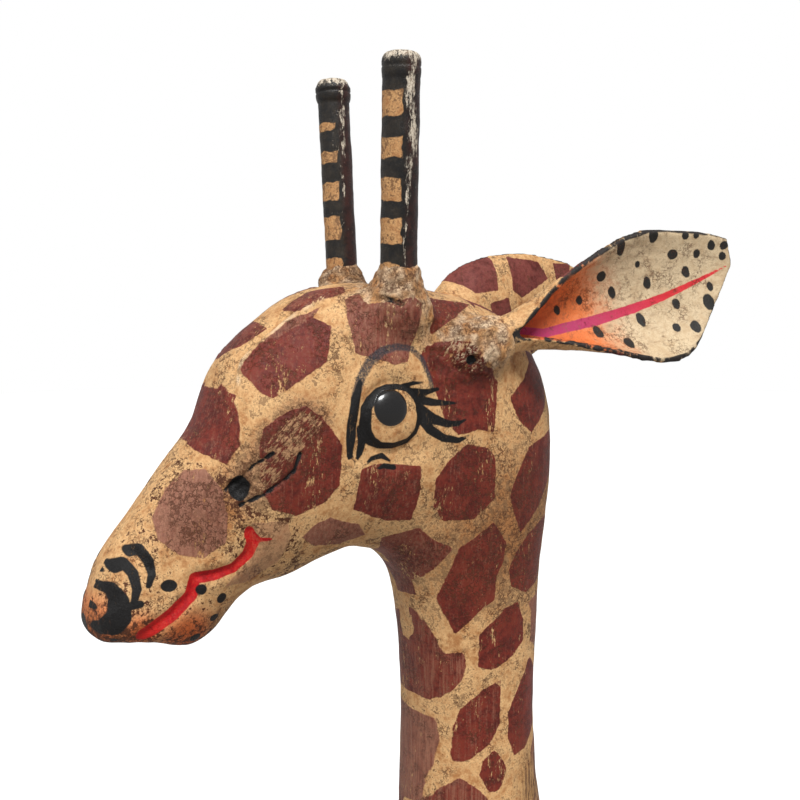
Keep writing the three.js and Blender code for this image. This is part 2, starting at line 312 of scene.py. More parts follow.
def build_grime(tree, given, out):
    def cloud(factor, detail, rough):
        values = {"Vector": given["Place"], "Detail": detail, "Roughness": rough}
        made = add(tree, "ShaderNodeTexNoise", values)
        size = times(tree, given["Pore size"], factor)
        tree.links.new(divided(tree, 1.0, size), made.inputs["Scale"])
        return made.outputs["Fac"]

    pores, flecks = cloud(1.0, 5.0, 0.8), cloud(2.6, 5.0, 0.75)
    patches, slow = cloud(8.0, 4.0, 0.65), cloud(30.0, 2.0, 0.5)
    thick = plus(tree, plus(tree, patches, slow), given["Amount"])
    limit = step(tree, thick, 0.95, 2.05, to=(0.7, 0.45))
    fine = step(tree, minus(tree, pores, limit), -0.05, 0.12, to=(0.0, 0.75))
    coarse = step(tree, minus(tree, flecks, limit), 0.0, 0.05)
    tree.links.new(larger(tree, fine, coarse), out["Dirt"])
    even = plus(tree, times(tree, flecks, 0.45), times(tree, patches, 0.35))
    tree.links.new(plus(tree, even, times(tree, slow, 0.2)), out["Clouds"])
    tree.links.new(pores, out["Relief"])


build_grime(grime, grime_in, grime_out)

# %% Cracks like a dry pond
crackle, crackle_in, crackle_out = new_group(
    "crackle",
    [("Place", "Vector", None), ("Flake size", "Float", 4.0), ("Where", "Float", 0.5)],
    [("Cracks", "Float")],
)


def build_crackle(tree, given, out):
    wander = add(tree, "ShaderNodeTexNoise", {"Vector": given["Place"], "Scale": 0.55, "Detail": 3.0})
    shift = add(tree, "ShaderNodeVectorMath", {0: wander.outputs["Color"], "Scale": 5.0}, operation="SCALE")
    bent = add(tree, "ShaderNodeVectorMath", {0: given["Place"], 1: shift.outputs[0]}, operation="ADD")
    cells = add(tree, "ShaderNodeTexVoronoi", {"Vector": bent.outputs[0]}, feature="DISTANCE_TO_EDGE")
    tree.links.new(divided(tree, 1.0, given["Flake size"]), cells.inputs["Scale"])
    depth = mottle(tree, given["Place"], 5.0, 3.0, 0.7)
    width = step(tree, depth, 0.38, 0.62, to=(0.0, 0.11))
    line = step(tree, minus(tree, cells.outputs["Distance"], width), -0.04, 0.02, to=(1.0, 0.0))
    spread = mottle(tree, given["Place"], 15.0, 3.0)
    here = step(tree, plus(tree, spread, given["Where"]), 0.96, 1.1)
    tree.links.new(times(tree, line, here), out["Cracks"])


build_crackle(crackle, crackle_in, crackle_out)

# %% Flecks where the paint came off
flaking, flaking_in, flaking_out = new_group(
    "flaking",
    [("Place", "Vector", None), ("Fleck size", "Float", 2.0), ("Amount", "Float", 0.3)],
    [("Bare", "Float")],
)


def build_flaking(tree, given, out):
    def cloud(factor, detail):
        values = {"Vector": given["Place"], "Detail": detail, "Roughness": 0.75}
        made = add(tree, "ShaderNodeTexNoise", values)
        scale = divided(tree, 1.0, times(tree, given["Fleck size"], factor))
        tree.links.new(scale, made.inputs["Scale"])
        return made.outputs["Fac"]

    flecks, regions = cloud(1.0, 5.0), cloud(9.0, 2.0)
    wear = plus(tree, flecks, times(tree, regions, 0.6))
    level = plus(tree, wear, given["Amount"])
    tree.links.new(step(tree, level, 1.13, 1.2), out["Bare"])


build_flaking(flaking, flaking_in, flaking_out)

# %% A line drawn with a hand-held brush
brushed, brushed_in, brushed_out = new_group(
    "brushed edge",
    [
        ("Place", "Vector", None), ("Inside", "Float", 0.0),
        ("Wander", "Float", 1.0), ("Softness", "Float", 0.35),
    ],
    [("Cover", "Float")],
)


def build_brushed(tree, given, out):
    shake = minus(tree, mottle(tree, given["Place"], 4.5, 3.0, 0.65), 0.5)
    moved = plus(tree, given["Inside"], times(tree, shake, given["Wander"]))
    made = add(tree, "ShaderNodeMapRange", {"Value": moved}, interpolation_type="SMOOTHSTEP")
    tree.links.new(times(tree, given["Softness"], -1.0), made.inputs["From Min"])
    tree.links.new(given["Softness"], made.inputs["From Max"])
    tree.links.new(made.outputs["Result"], out["Cover"])


build_brushed(brushed, brushed_in, brushed_out)


def brush_cover(tree, place, name, wander, softness=0.3):
    """How thick the paint of a layer lies. Its edge wanders by that many mm."""
    given = {"Place": place, "Inside": layer(tree, name), "Wander": wander, "Softness": softness}
    return place_group(tree, brushed, **given)["Cover"]

# %% Wood grain
grain, grain_in, grain_out = new_group(
    "wood grain",
    [("Place", "Vector", None), ("Line width", "Float", 1.2)],
    [("Lines", "Float")],
)


def build_grain(tree, given, out):
    along = add(tree, "ShaderNodeMapping", {"Vector": given["Place"], "Scale": (1.0, 1.0, 0.045)}).outputs[0]
    values = {"Vector": along, "Detail": 4.0, "Roughness": 0.65, "Distortion": 0.4}
    made = add(tree, "ShaderNodeTexNoise", values)
    tree.links.new(divided(tree, 1.0, given["Line width"]), made.inputs["Scale"])
    tree.links.new(made.outputs["Fac"], out["Lines"])


build_grain(grain, grain_in, grain_out)
print("shared effects:", [g.name for g in bpy.data.node_groups])

# %% [markdown]
# ## The painted coat
# The carver sealed the wood with a chalky gesso, laid on a warm cream, and then filled in the
# maroon patches so that the cream is left as a net between them. Black and red are brushed on
# last. The finish repeats that order: cream first, then each layer over it, and at the end what
# the years did, which is dirt in the pores, cracks and lost flecks.
#
# The layers patch, ink, brow, lips, pupil and hoof hold how far a point is inside its mark, in
# mm, so the edge of a mark stays sharp between two vertices. Ink also holds the painted shade
# inside the holes and the cracks. The layers blush, worn, white, grain_shows and the one for dirt
# and painted shade are shares from 0 to 1, and tone says how faded a patch is, from -1 to 1. White
# is partly pale gesso and partly painted highlight.

# %% Colours of the paints
CREAM = colour(224, 182, 128)
CREAM_DEEP = colour(164, 112, 66)
PALE_GESSO_AND_HIGHLIGHT = colour(236, 216, 184)
DIRT = colour(78, 40, 18)
MAROON = colour(122, 42, 29)
MAROON_DEEP = colour(78, 22, 14)
MAROON_FADED = colour(150, 104, 82)
ORANGE = colour(196, 92, 40)
RED, RED_DEEP = colour(196, 8, 14), colour(150, 8, 14)
BLACK = colour(14, 12, 12)
BROW_GREY = colour(48, 46, 50)
HOOF_BROWN = colour(40, 27, 22)
BARE_WOOD = colour(176, 134, 84)
HORN_CREAM, HORN_CREAM_DEEP = colour(226, 178, 120), colour(156, 106, 62)
HORN_BLACK_FADED = colour(46, 38, 28)
HORN_BROWN, HORN_BROWN_DEEP = colour(58, 28, 22), colour(20, 10, 9)
OLD_GESSO, OLD_GESSO_DEEP = colour(216, 204, 184), colour(112, 84, 62)
EAR_MAROON = colour(128, 62, 55)
EAR_CREAM, EAR_CREAM_DEEP, EAR_STREAK = colour(208, 188, 154), colour(178, 152, 118), colour(128, 98, 72)
EAR_ORANGE, EAR_RUST, EAR_DIRT = colour(208, 112, 58), colour(170, 64, 30), colour(110, 80, 54)
STRIPE_RED, STRIPE_PINK = colour(196, 40, 48), colour(160, 42, 88)
DAB_BLACK, RIM_BLACK = colour(32, 30, 27), colour(34, 28, 25)
PEG_WOOD, PEG_WOOD_DEEP = colour(196, 154, 100), colour(138, 96, 56)
FLOOR_SEEN, FLOOR_LIT = (0.8, 0.8, 0.8, 1), (0.3, 0.29, 0.28, 1)


# %% The coat's shader tree
def build_coat():
    coat, tree, shader, place = new_finish("painted_coat")
    # The layer of dirt and painted shade thickens the dirt and the cracks and darkens the cream: dirt round
    # the roots and the hole, painted shade under the jaw and the nose.
    soiled = layer(tree, "soiled")
    amount = plus(tree, times(tree, soiled, 0.7), 0.55)
    dirt = place_group(tree, grime, Place=place, Pore_size=1.15, Amount=amount)
    more_cracks = plus(tree, times(tree, soiled, 0.3), 0.5)
    cracks = place_group(tree, crackle, Place=place, Flake_size=2.8, Where=more_cracks)["Cracks"]

    clouds = dirt["Clouds"]
    dusk = plus(tree, clouds, times(tree, soiled, -0.13))
    cream = mix(tree, step(tree, dusk, 0.36, 0.6), CREAM_DEEP, CREAM)
    # The white layer is pale gesso in places, and painted highlight round the roots and along the crown's
    # edge.
    cream = mix(tree, layer(tree, "white"), cream, PALE_GESSO_AND_HIGHLIGHT)
    glow = plus(tree, layer(tree, "blush"), minus(tree, clouds, 0.5), clamp=True)
    cream = mix(tree, step(tree, glow, 0.25, 0.8, to=(0.0, 0.9)), cream, ORANGE)

    tone = layer(tree, "tone")
    lines = place_group(tree, grain, Place=place, Line_width=1.3)["Lines"]
    fade = plus(tree, tone, minus(tree, plus(tree, clouds, lines), 1.0))
    maroon = mix(tree, step(tree, clouds, 0.4, 0.6), MAROON_DEEP, MAROON)
    maroon = mix(tree, step(tree, fade, 0.1, 1.0), maroon, MAROON_FADED)
    dust = plus(tree, times(tree, lines, dirt["Relief"]), times(tree, tone, 0.06))
    maroon = mix(tree, step(tree, dust, 0.24, 0.4, to=(0.0, 0.45)), maroon, MAROON_FADED)

    flecks_place = add(tree, "ShaderNodeMapping", {"Vector": place, "Scale": (1, 1, 0.3)}).outputs[0]
    bare = place_group(tree, flaking, Place=flecks_place, Fleck_size=1.5, Amount=0.2)["Bare"]
    turned = {"Vector": place, "Rotation": (math.radians(45), 0, 0), "Scale": (1.0, 3.6, 1.0)}
    streaks = add(tree, "ShaderNodeMapping", turned, vector_type="TEXTURE").outputs[0]
    rub_noise = mottle(tree, streaks, 1.35, 5.0, 0.75)
    rubbed = step(tree, plus(tree, layer(tree, "worn"), rub_noise), 1.0, 1.08)
    more_bare = larger(tree, bare, rubbed)

    patch = brush_cover(tree, place, "patch", 2.2)
    lips = brush_cover(tree, place, "lips", 0.9)
    ink = brush_cover(tree, place, "ink", 0.6)
    pupil = brush_cover(tree, place, "pupil", 0.2)
    brow = brush_cover(tree, place, "brow", 0.9, 0.6)
    thin = step(tree, tone, 0.75, 1.0, to=(1.0, 0.5))
    lasting = times(tree, minus(tree, 1.0, more_bare), thin)
    painted = mix(tree, times(tree, patch, lasting), cream, maroon)
    dirty = times(tree, dirt["Dirt"], step(tree, patch, 0.0, 1.0, to=(0.66, 0.34)))
    dirty = times(tree, dirty, step(tree, tone, 0.45, 0.75, to=(1.0, 1.5)), clamp=True)
    painted = mix(tree, dirty, painted, DIRT)
    painted = mix(tree, times(tree, cracks, 0.72), painted, DIRT)
    grey = times(tree, brow, step(tree, dirt["Relief"], 0.4, 0.55, to=(0.55, 0.95)))
    painted = mix(tree, grey, painted, BROW_GREY)
    red = mix(tree, step(tree, clouds, 0.4, 0.6), RED_DEEP, RED)
    lasting_lips = times(tree, lips, step(tree, dirt["Dirt"], 0.0, 1.0, to=(1.0, 0.75)))
    painted = mix(tree, lasting_lips, painted, red)
    lasting_ink = times(tree, ink, step(tree, bare, 0.0, 1.0, to=(1.0, 0.85)))
    painted = mix(tree, lasting_ink, painted, BLACK)
    painted = mix(tree, brush_cover(tree, place, "hoof", 5.0, 2.5), painted, HOOF_BROWN)

    wood = mix(tree, step(tree, lines, 0.42, 0.62), DIRT, BARE_WOOD)
    painted = mix(tree, layer(tree, "grain_shows"), painted, wood)
    painted = mix(tree, pupil, painted, BLACK)
    tree.links.new(painted, shader.inputs["Base Color"])

    dull = step(tree, patch, 0.0, 1.0, to=(0.6, 0.46))
    dull = plus(tree, dull, times(tree, larger(tree, ink, lips), -0.14))
    dull = plus(tree, dull, step(tree, dirt["Relief"], 0.3, 0.7, to=(-0.06, 0.1)))
    tree.links.new(plus(tree, dull, times(tree, pupil, -0.3)), shader.inputs["Roughness"])
    shader.inputs["Specular IOR Level"].default_value = 0.28
    tree.links.new(times(tree, pupil, 0.6), shader.inputs["Coat Weight"])
    shader.inputs["Coat Roughness"].default_value = 0.12

    relief = plus(tree, times(tree, dirt["Relief"], 0.8), times(tree, patch, 0.2))
    relief = plus(tree, relief, times(tree, cracks, -0.6))
    relief = plus(tree, relief, times(tree, more_bare, -0.25))
    smooth_eye = times(tree, minus(tree, 1.0, pupil), relief)
    raise_surface(tree, shader, smooth_eye, 0.5)
    return coat


painted_coat = build_coat()

# %% [markdown]
# ## Working the carvings
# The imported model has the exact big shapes, but a chisel and gesso leave softer ones. Each
# carving starts as a copy of its CAD solid, with its loose triangles merged. A voxel remesh turns
# it into even clay, and a few rounds of smoothing take the steps away. The head is then cut finer
# where it has small features.


# %% From a CAD solid to even clay
def evaluated(obj):
    """Applies an object's modifiers to its own mesh."""
    shaped = obj.evaluated_get(bpy.context.evaluated_depsgraph_get())
    old = obj.data
    obj.data = bpy.data.meshes.new_from_object(shaped)
    obj.modifiers.clear()
    bpy.data.meshes.remove(old)


def largest_part(bm):
    """Takes away every loose shell but the largest, such as the wall of a closed-up bore."""
    left, shells = set(bm.verts), []
    while left:
        start = left.pop()
        shell, todo = [start], [start]
        while todo:
            for edge in todo.pop().link_edges:
                for vert in edge.verts:
                    if vert in left:
                        left.remove(vert)
                        shell.append(vert)
                        todo.append(vert)
        shells.append(shell)
    shells.sort(key=len)
    for shell in shells[:-1]:
        bmesh.ops.delete(bm, geom=shell, context="VERTS")


def smooth(bm, verts):
    """One round of smoothing."""
    bmesh.ops.smooth_vert(bm, verts=verts, factor=0.5, use_axis_x=True, use_axis_y=True, use_axis_z=True)


def clay(name, voxel_mm, rounds, extra=None):
    """A CAD node's shape as one piece of even clay, with anything that extra adds melted in."""
    bm = bmesh.new()
    bm.from_mesh(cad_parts[name].data)
    bmesh.ops.remove_doubles(bm, verts=bm.verts, dist=1e-5)
    if extra:
        extra(bm)
    mesh = bpy.data.meshes.new("carved_" + name)
    bm.to_mesh(mesh)
    bm.free()
    obj = in_scene("carved_" + name, mesh)
    remesh = obj.modifiers.new("remesh", "REMESH")
    remesh.mode = "VOXEL"
    remesh.voxel_size = voxel_mm / 1000
    evaluated(obj)
    bm = bmesh.new()
    bm.from_mesh(obj.data)
    largest_part(bm)
    for _ in range(rounds):
        smooth(bm, bm.verts)
    bm.to_mesh(obj.data)
    bm.free()
    obj.data.shade_smooth()
    return obj


def cut_finer(obj, inside):
    """Halves every edge whose ends are both inside, then smooths the cut part a little."""
    chosen = inside(drawn(obj.data))
    bm = bmesh.new()
    bm.from_mesh(obj.data)
    edges = [e for e in bm.edges if chosen[e.verts[0].index] and chosen[e.verts[1].index]]
    bmesh.ops.subdivide_edges(bm, edges=edges, cuts=1, use_grid_fill=True)
    bm.to_mesh(obj.data)
    chosen = inside(drawn(obj.data))
    bm.clear()
    bm.from_mesh(obj.data)
    smooth(bm, [v for v in bm.verts if chosen[v.index]])
    bm.to_mesh(obj.data)
    bm.free()
    obj.data.shade_smooth()


def lumps(places, size, seed):
    """Smooth hills and dips from about -1 to 1, size mm across, at each place."""
    shift = Vector((seed * 7.3, seed * 3.1, seed * 5.7))
    return np.array([noise.noise(Vector(p) / size + shift) for p in places])


# %% [markdown]
# ## The head and neck
# This is the piece that everyone looks at. The horns and ears sit in thick collars of gesso that
# run out over the head, so here the collars are part of the clay: a closed lump is spun round
# each horn and each ear root before the remesh, and the smoothing melts it into the head.

# %% Where horns and ears grow, in mm on the drawing
HORN_FOOT, HORN_TIP = Vector((31, -19, 59)), Vector((38, -21, 175))
EAR_ROOT = Vector((41, 24, 32))
EAR_SPREAD = 12.0  # degrees that an ear points outwards
EAR_RISE = {"left": 17.0, "right": 11.5}  # degrees; one ear was let in a little lower
SIDES = {"left": 1, "right": -1}


def metres(point, side=1):
    """A point of the drawing, on the left side or mirrored, in the frame's metres."""
    return Vector((side * point[0], point[1] - FORWARD, point[2] + EYE_LEVEL)) / 1000


def ear_frame(side):
    """Turns a point of an ear's own drawing, x outwards, y along it and z up, into the frame."""
    return (
        Matrix.Diagonal((0.001, 0.001, 0.001, 1))
        @ Matrix.Translation((0, -FORWARD, EYE_LEVEL))
        @ Matrix.Diagonal((SIDES[side], 1, 1, 1))
        @ Matrix.Translation(EAR_ROOT)
        @ Matrix.Rotation(-math.radians(EAR_SPREAD), 4, "Z")
        @ Matrix.Rotation(math.radians(EAR_RISE[side]), 4, "X")
    )


def spun(bm, outline, place, steps=40):
    """Spins an outline of (radius, height) in mm round its own z axis and puts it in place."""
    verts = [bm.verts.new((r, 0, h)) for r, h in outline]
    edges = [bm.edges.new(pair) for pair in zip(verts, verts[1:])]
    made = bmesh.ops.spin(
        bm, geom=verts + edges, cent=(0, 0, 0), axis=(0, 0, 1),
        steps=steps, angle=math.tau, use_merge=True,
    )
    ring = set(verts) | {g for g in made["geom_last"] if isinstance(g, bmesh.types.BMVert)}
    linked, todo = set(ring), list(ring)
    while todo:
        for edge in todo.pop().link_edges:
            for vert in edge.verts:
                if vert not in linked:
                    linked.add(vert)
                    todo.append(vert)
    bmesh.ops.remove_doubles(bm, verts=list(linked), dist=1e-4)
    linked = [v for v in linked if v.is_valid]
    bmesh.ops.transform(bm, matrix=place, verts=linked)
    faces = list({f for v in linked for f in v.link_faces})
    bmesh.ops.recalc_face_normals(bm, faces=faces)
    return linked


def along(start, end, side):
    """Stands a spun shape on a start point, upright towards an end point."""
    base, tip = metres(start, side), metres(end, side)
    turn = (tip - base).to_track_quat("Z", "Y").to_matrix().to_4x4()
    return Matrix.Translation(base) @ turn @ Matrix.Diagonal((0.001, 0.001, 0.001, 1))


# %% Collars of gesso round the horns and ears
HORN_COLLAR = [(0, -26), (12, -26), (19, -12), (17, -4), (13.6, 2), (11.6, 8), (10.4, 14), (9.8, 17), (0, 17)]
EAR_COLLAR = [(0, -18), (10, -18), (15.6, -8), (15.4, 0), (14, 8), (12.4, 17), (0, 17)]


def collars(bm):
    for side, sign in SIDES.items():
        spun(bm, HORN_COLLAR, along(HORN_FOOT, HORN_TIP, sign))
        spun(bm, EAR_COLLAR, ear_frame(side) @ Matrix.Rotation(-math.pi / 2, 4, "X"))


head = clay("head_and_neck", voxel_mm=3.55, rounds=5, extra=collars)
print("head clay", len(head.data.polygons), "faces")

# %% Tools for carving
OUTSIDE = -60.0  # mm, the depth of a place that is well outside a mark


def near_point(places, centre, radius):
    """1 at the centre, fading to 0 at the radius."""
    far = np.linalg.norm(places - np.array(centre), axis=1) / radius
    return np.clip(1 - far**2, 0, None) ** 2


def from_line(places, path):
    """How far each place lies from a line through points."""
    best = np.full(len(places), 1e9)
    for a, b in zip(path, path[1:]):
        a, b = np.array(a, float), np.array(b, float)
        share = np.clip(((places - a) @ (b - a)) / ((b - a) @ (b - a)), 0, 1)
        best = np.minimum(best, np.linalg.norm(places - a - share[:, None] * (b - a), axis=1))
    return best


def near_line(places, path, width):
    """1 on a line through points, fading to 0 at the width."""
    return np.clip(1 - (from_line(places, path) / width) ** 2, 0, None) ** 2


def bell(far, width):
    """1 where far is 0, and fading over about that width on both sides."""
    return np.exp(-((far / width) ** 2))


def on_left(places):
    """Every place mirrored to the left side, so that both sides are worked alike."""
    return np.column_stack((np.abs(places[:, 0]), places[:, 1:]))


CROWN_EDGE = [  # where the side of the head turns into its top
    (25, -105, 12), (17, -97, 27), (18, -87, 35), (19, -75, 45), (20, -64, 52), (20, -55, 57),
    (15, -44, 61),
]

# %% Finer clay for the head, and finer still for the eyes and the muzzle
def whole_head(p):
    """From the throat to the tips of the collars."""
    return (p[:, 2] > -125) & (p[:, 2] < 90)


def fine_work(p):
    """Both eyes, and on the worn left side also the lashes, the muzzle, the roots and the cheek."""
    left = on_left(p)
    eyes = (left[:, 0] > 18) & (np.linalg.norm(p[:, 1:] - [-27, 3], axis=1) < 31)
    lashes = (p[:, 0] > 18) & (np.linalg.norm(p[:, 1:] - [-5, 0], axis=1) < 22)
    muzzle = (p[:, 0] > -8) & (p[:, 1] < -98) & (p[:, 2] < -40)
    roots = near_point(p, HORN_FOOT, 24) + near_point(p, (48, 16, 30), 26) > 0
    ridge = from_line(p, CROWN_EDGE) < 4
    worn_cheek = (p[:, 0] > 15) & (np.abs(p[:, 1] + 86) < 26) & (np.abs(p[:, 2] + 16) < 24)
    return eyes | lashes | muzzle | roots | ridge | worn_cheek


cut_finer(head, whole_head)
cut_finer(head, fine_work)
print("head cut finer", len(head.data.polygons), "faces")

# %% [markdown]
# ## Carving the features
# The fine shapes are pushed and cut with two tools. A push moves the surface in or out round a
# point, fading with distance. A groove does it along a line. Both work on the left side of the
# drawing, and the right side is carved as its mirror image.


# %% Carving
MOUTH = [
    (-151, -97, 6.5), (-138, -89, 7), (-129, -81, 6.5), (-127, -73, 5.5), (-118, -73, 5.5),
    (-108, -71, 5.5), (-101, -65, 6), (-99, -59, 6.5), (-101, -53, 4.5),
]
EYE_BALL, EYE_BALL_RADIUS = (-30.5, -2.5), 14.5
PUPIL, PUPIL_RADIUS = (-32, 3), 9.0
LID_ABOVE = [(-49, 2), (-45, 16), (-34, 24), (-20, 24), (-10, 14)]
LID_BELOW = [(-46, -20), (-30, -24), (-14, -20)]
NOSTRIL, NOSTRIL_FOLD = (-165, -80), [(-152, -60), (-147, -66)]
WORN_HOLE = (-105, -32)
LONG_CRACKS = [
    [(-112, -33), (-104, -27), (-98, -21), (-90, -16)],
    [(-105, -40), (-95, -36), (-87, -31), (-80, -25), (-77, -17)],
]
CHEEK_WEAR = [(-98, -30), (-86, -14), (-75, -4)]
EAR_HOLE = (13, 25)
HORN_SPLIT = [(33, -39, 57), (39, -32, 56.5), (45, -25, 54)]
HORN_SMEAR = (33, -20, 66), 34  # the middle and the reach of the gesso smeared round a horn


def carve_head():
    """Pushes and cuts every small feature of the head into the clay."""
    mesh = head.data
    p, n = drawn(mesh), outward(mesh)
    left = on_left(p)
    side_view, cheek = left[:, 1:], left[:, 0] > 12
    push = np.zeros(len(p))

    # The chisel's slow waves, and the brush's finer ones.
    on_head = np.clip((p[:, 2] + 260) / 80, 0.6, 1)
    push += 0.55 * lumps(p, 24, 1) * on_head + 0.22 * lumps(p, 8, 2)

    # The eye is a low dome with a second one, the pupil, on it, in a ring-shaped lid.
    ball = np.linalg.norm(side_view - EYE_BALL, axis=1)
    pupil = np.linalg.norm(side_view - PUPIL, axis=1)
    push += cheek * 3.0 * np.sqrt(np.clip(1 - (ball / EYE_BALL_RADIUS) ** 2, 0, None))
    push += cheek * 2.0 * np.sqrt(np.clip(1 - (pupil / (PUPIL_RADIUS + 0.2)) ** 2, 0, None))
    push -= cheek * 0.7 * bell(ball - EYE_BALL_RADIUS - 3, 1.6)
    push += cheek * 1.5 * near_line(side_view, LID_ABOVE, 9)
    push -= cheek * 1.2 * near_line(side_view, LID_BELOW, 9)

    # The mouth is a shallow furrow, with lips that stand up a little beside it.
    mouth = from_line(side_view, [row[:2] for row in MOUTH])
    push -= cheek * 1.3 * bell(mouth, 2.2)
    push += cheek * 0.7 * bell(mouth - 6, 3)

    # Nostrils are hollowed under their black commas.
    push -= 1.2 * near_point(side_view, NOSTRIL, 7) * (left[:, 0] > 8)
    push -= 0.8 * near_line(side_view, NOSTRIL_FOLD, 4) * cheek

    # The gesso edge between the side and the top of the head is a thin lip.
    edge = from_line(left, CROWN_EDGE) + 0.6 * lumps(p, 6, 4)
    push += 1.2 * bell(edge, 1.5) - 0.5 * bell(edge - 3.2, 1.2)

    # A knot has fallen out of the cheek, and the wood has split on both sides of it.
    hole = np.linalg.norm(side_view - WORN_HOLE, axis=1) + 1.2 * lumps(p, 3, 5)
    one_side = p[:, 0] > 12
    push -= one_side * 3.2 * np.clip(1 - hole / 5.5, 0, 1) ** 0.6
    for crack in LONG_CRACKS:
        wobble = from_line(side_view, crack) + 0.5 * lumps(p, 4, 6)
        push -= one_side * 1.4 * bell(wobble, 0.9)

    # There is a small hole in front of the ear's root, and the gesso has split below the horn.
    push -= one_side * 3.0 * np.clip(1 - np.linalg.norm(side_view - EAR_HOLE, axis=1) / 3.6, 0, 1) ** 0.7
    push -= one_side * 2.6 * bell(from_line(p, HORN_SPLIT) + 0.6 * lumps(p, 4, 8), 1.3)

    # Gesso was smeared round the horns and ears with the fingers.
    smeared = np.maximum(near_point(left, *HORN_SMEAR), near_point(left, (52, 18, 33), 36))
    push += smeared**0.5 * (1.5 * lumps(p, 7, 7) + 0.9 * lumps(p, 3.2, 9) + 0.45 * lumps(p, 1.7, 10))

    # The paint on the worn cheek has come off in flakes.
    flaked = np.clip(1.6 - from_line(side_view, CHEEK_WEAR) / 12, 0, 1) * one_side
    push += flaked * (0.45 * lumps(p, 3.4, 14) + 0.25 * lumps(p, 1.6, 15))
    put_back(mesh, p + n * push[:, None])


carve_head()
print("features carved")

# %% [markdown]
# ## Patches given one by one
# A patch on the head has four to thirteen corners. Corners of y and z are a side view, and the
# patch is laid straight on the side of the head. Corners of x, y and z are used where a side view
# can't reach: they make a flat plane of their own, and the patch is laid along it like a sticker.
# Every vertex is told how far inside an outline it is. The right side gets the same patches, a
# little shifted, as a second hand-painted set would be.

# %% Corners of the patches
PATCHES = [
    # corners, and how faded the patch is, from -1 to 1
    ([(-100, 23), (-89, 35), (-65, 48), (-57, 43), (-62, 26), (-88, 9), (-93, 12)], -0.1),
    ([(-49, 47), (-47, 56), (-33, 60), (-24, 61), (-14, 54), (-17, 37), (-21, 25), (-28, 24),
      (-48, 30)], 0.45),
    ([(30, -2, 59), (27, 16, 58), (23, 30, 53), (35, 13, 44), (40, -5, 38), (39, -8, 43)], -0.2),
    ([(-13, 27), (-11, 31), (-4, 35), (13, 35), (18, 25), (28, 20), (34, 12), (31, -14), (20, -12), (8, -14),
      (0, -5), (-4, 6), (-9, 18)], -0.4),
    ([(14, -19), (27, -22), (32, -28), (32, -50), (20, -60), (4, -60), (-3, -52), (-4, -36), (4, -26)], -0.3),
    ([(-46, -27), (-38, -25), (-13, -28), (-12, -44), (-14, -58), (-28, -57), (-48, -48)], 0.1),
    ([(81, -17), (90, -30), (76, -47), (65, -61), (52, -72), (46, -60), (42, -49), (47, -38),
      (56, -24)], -0.4),
    ([(45, 23), (62, 28), (77, 22), (78, 7), (74, -4), (58, -17), (49, -10), (43, 2)], -0.5),
    ([(-26, -68), (-8, -63), (1, -71), (11, -76), (5, -88), (-1, -98), (-4, -107), (-12, -108),
      (-16, -92)], 0.35),
    ([(33, -63), (42, -76), (41, -86), (37, -95), (37, -108), (30, -112), (17, -127), (8, -107),
      (14, -76)], -0.15),
    ([(77, -66), (76, -85), (74, -104), (59, -108), (47, -102), (45, -92), (50, -82), (59, -73)], -0.45),
    ([(53, -112), (58, -123), (59, -136), (51, -143), (38, -149), (29, -147), (29, -127), (44, -114)], -0.5),
    ([(3, -116), (10, -130), (13, -139), (21, -137), (23, -144), (21, -155), (12, -166), (-6, -168),
      (-6, -128)], 0.3),
    ([(43, -155), (43, -181), (37, -192), (24, -201), (17, -202), (18, -182), (21, -170), (32, -160)], 0.05),
    ([(-6, -178), (12, -178), (13, -190), (11, -206), (6, -228), (0, -240), (-6, -240)], 0.6),
    ([(66, -148), (76, -160), (74, -192), (62, -202), (53, -203), (49, -192), (48, -176), (54, -166)], -0.4),
    ([(40, -196), (48, -208), (44, -220), (37, -222), (30, -209), (33, -201)], -0.3),
    ([(21, -211), (31, -219), (42, -233), (30, -252), (10, -250), (8, -228), (14, -217)], 0.35),
    ([(-83, 3), (-74, 6), (-66, 0), (-56, -14), (-57, -34), (-63, -42), (-78, -48), (-91, -43),
      (-96, -31), (-96, -14), (-94, -4)], -0.1),
    ([(-106, 16), (-103, 3), (-104, -12), (-110, -21), (-121, -15), (-124, -10), (-114, 3)], 0.0),
    ([(-127, -24), (-119, -23), (-113, -32), (-111, -46), (-112, -58), (-123, -64), (-134, -61),
      (-142, -54), (-143, -45), (-135, -32)], 0.75),
    ([(-26, -100, 22), (-4, -101, 26), (10, -95, 33), (15, -84, 43), (-8, -82, 45), (-22, -88, 38)], 0.25),
    ([(10, -74, 51), (22, -70, 52), (22, -44, 60), (12, -40, 62), (5, -56, 58)], 0.3),
    ([(24, -90, 38), (25, -76, 48), (25, -60, 55), (27, -66, 47), (27, -80, 40)], 0.5),
    ([(-74, -60), (-66, -53), (-60, -51), (-43, -57), (-36, -65), (-52, -68), (-66, -66)], 0.6),
    ([(27, -108, 13), (-27, -109, 12), (-27, -121, -12), (27, -121, -12)], 0.1),
    ([(-100, -49), (-82, -50), (-80, -60), (-84, -72), (-98, -81), (-112, -80), (-98, -66)], 0.95),
    ([(28, 64), (44, 57), (60, 44), (64, 34), (50, 31), (34, 44)], -0.1),
    ([(72, 32), (80, 27), (92, 8), (94, -12), (86, -12), (82, 6)], -0.1),
    ([(96, -70), (90, -52), (82, -50), (78, -62), (84, -76), (92, -80)], -0.2),
]
FRONT_PATCHES = [  # x and z on the front of the neck, where side patches carry on round it
    ([(-8, -90), (14, -88), (14, -107), (-4, -109)], 0.35),
    ([(-20, -136), (19, -138), (19, -168), (-18, -170)], 0.3),
    ([(-20, -180), (14, -178), (12, -232), (-16, -238)], 0.6),
]
PLASTER = [  # gesso smeared over the patches round an ear's root
    (-9, 33), (4, 38), (24, 47), (42, 55), (62, 52), (64, 20), (44, 4), (36, 10), (30, 18), (20, 22),
    (24, 29), (10, 34.5), (-3, 34),
]
NET = 7.5  # mm of cream between two patches
PATCH_REACH = 26  # mm from its own plane that a patch still covers


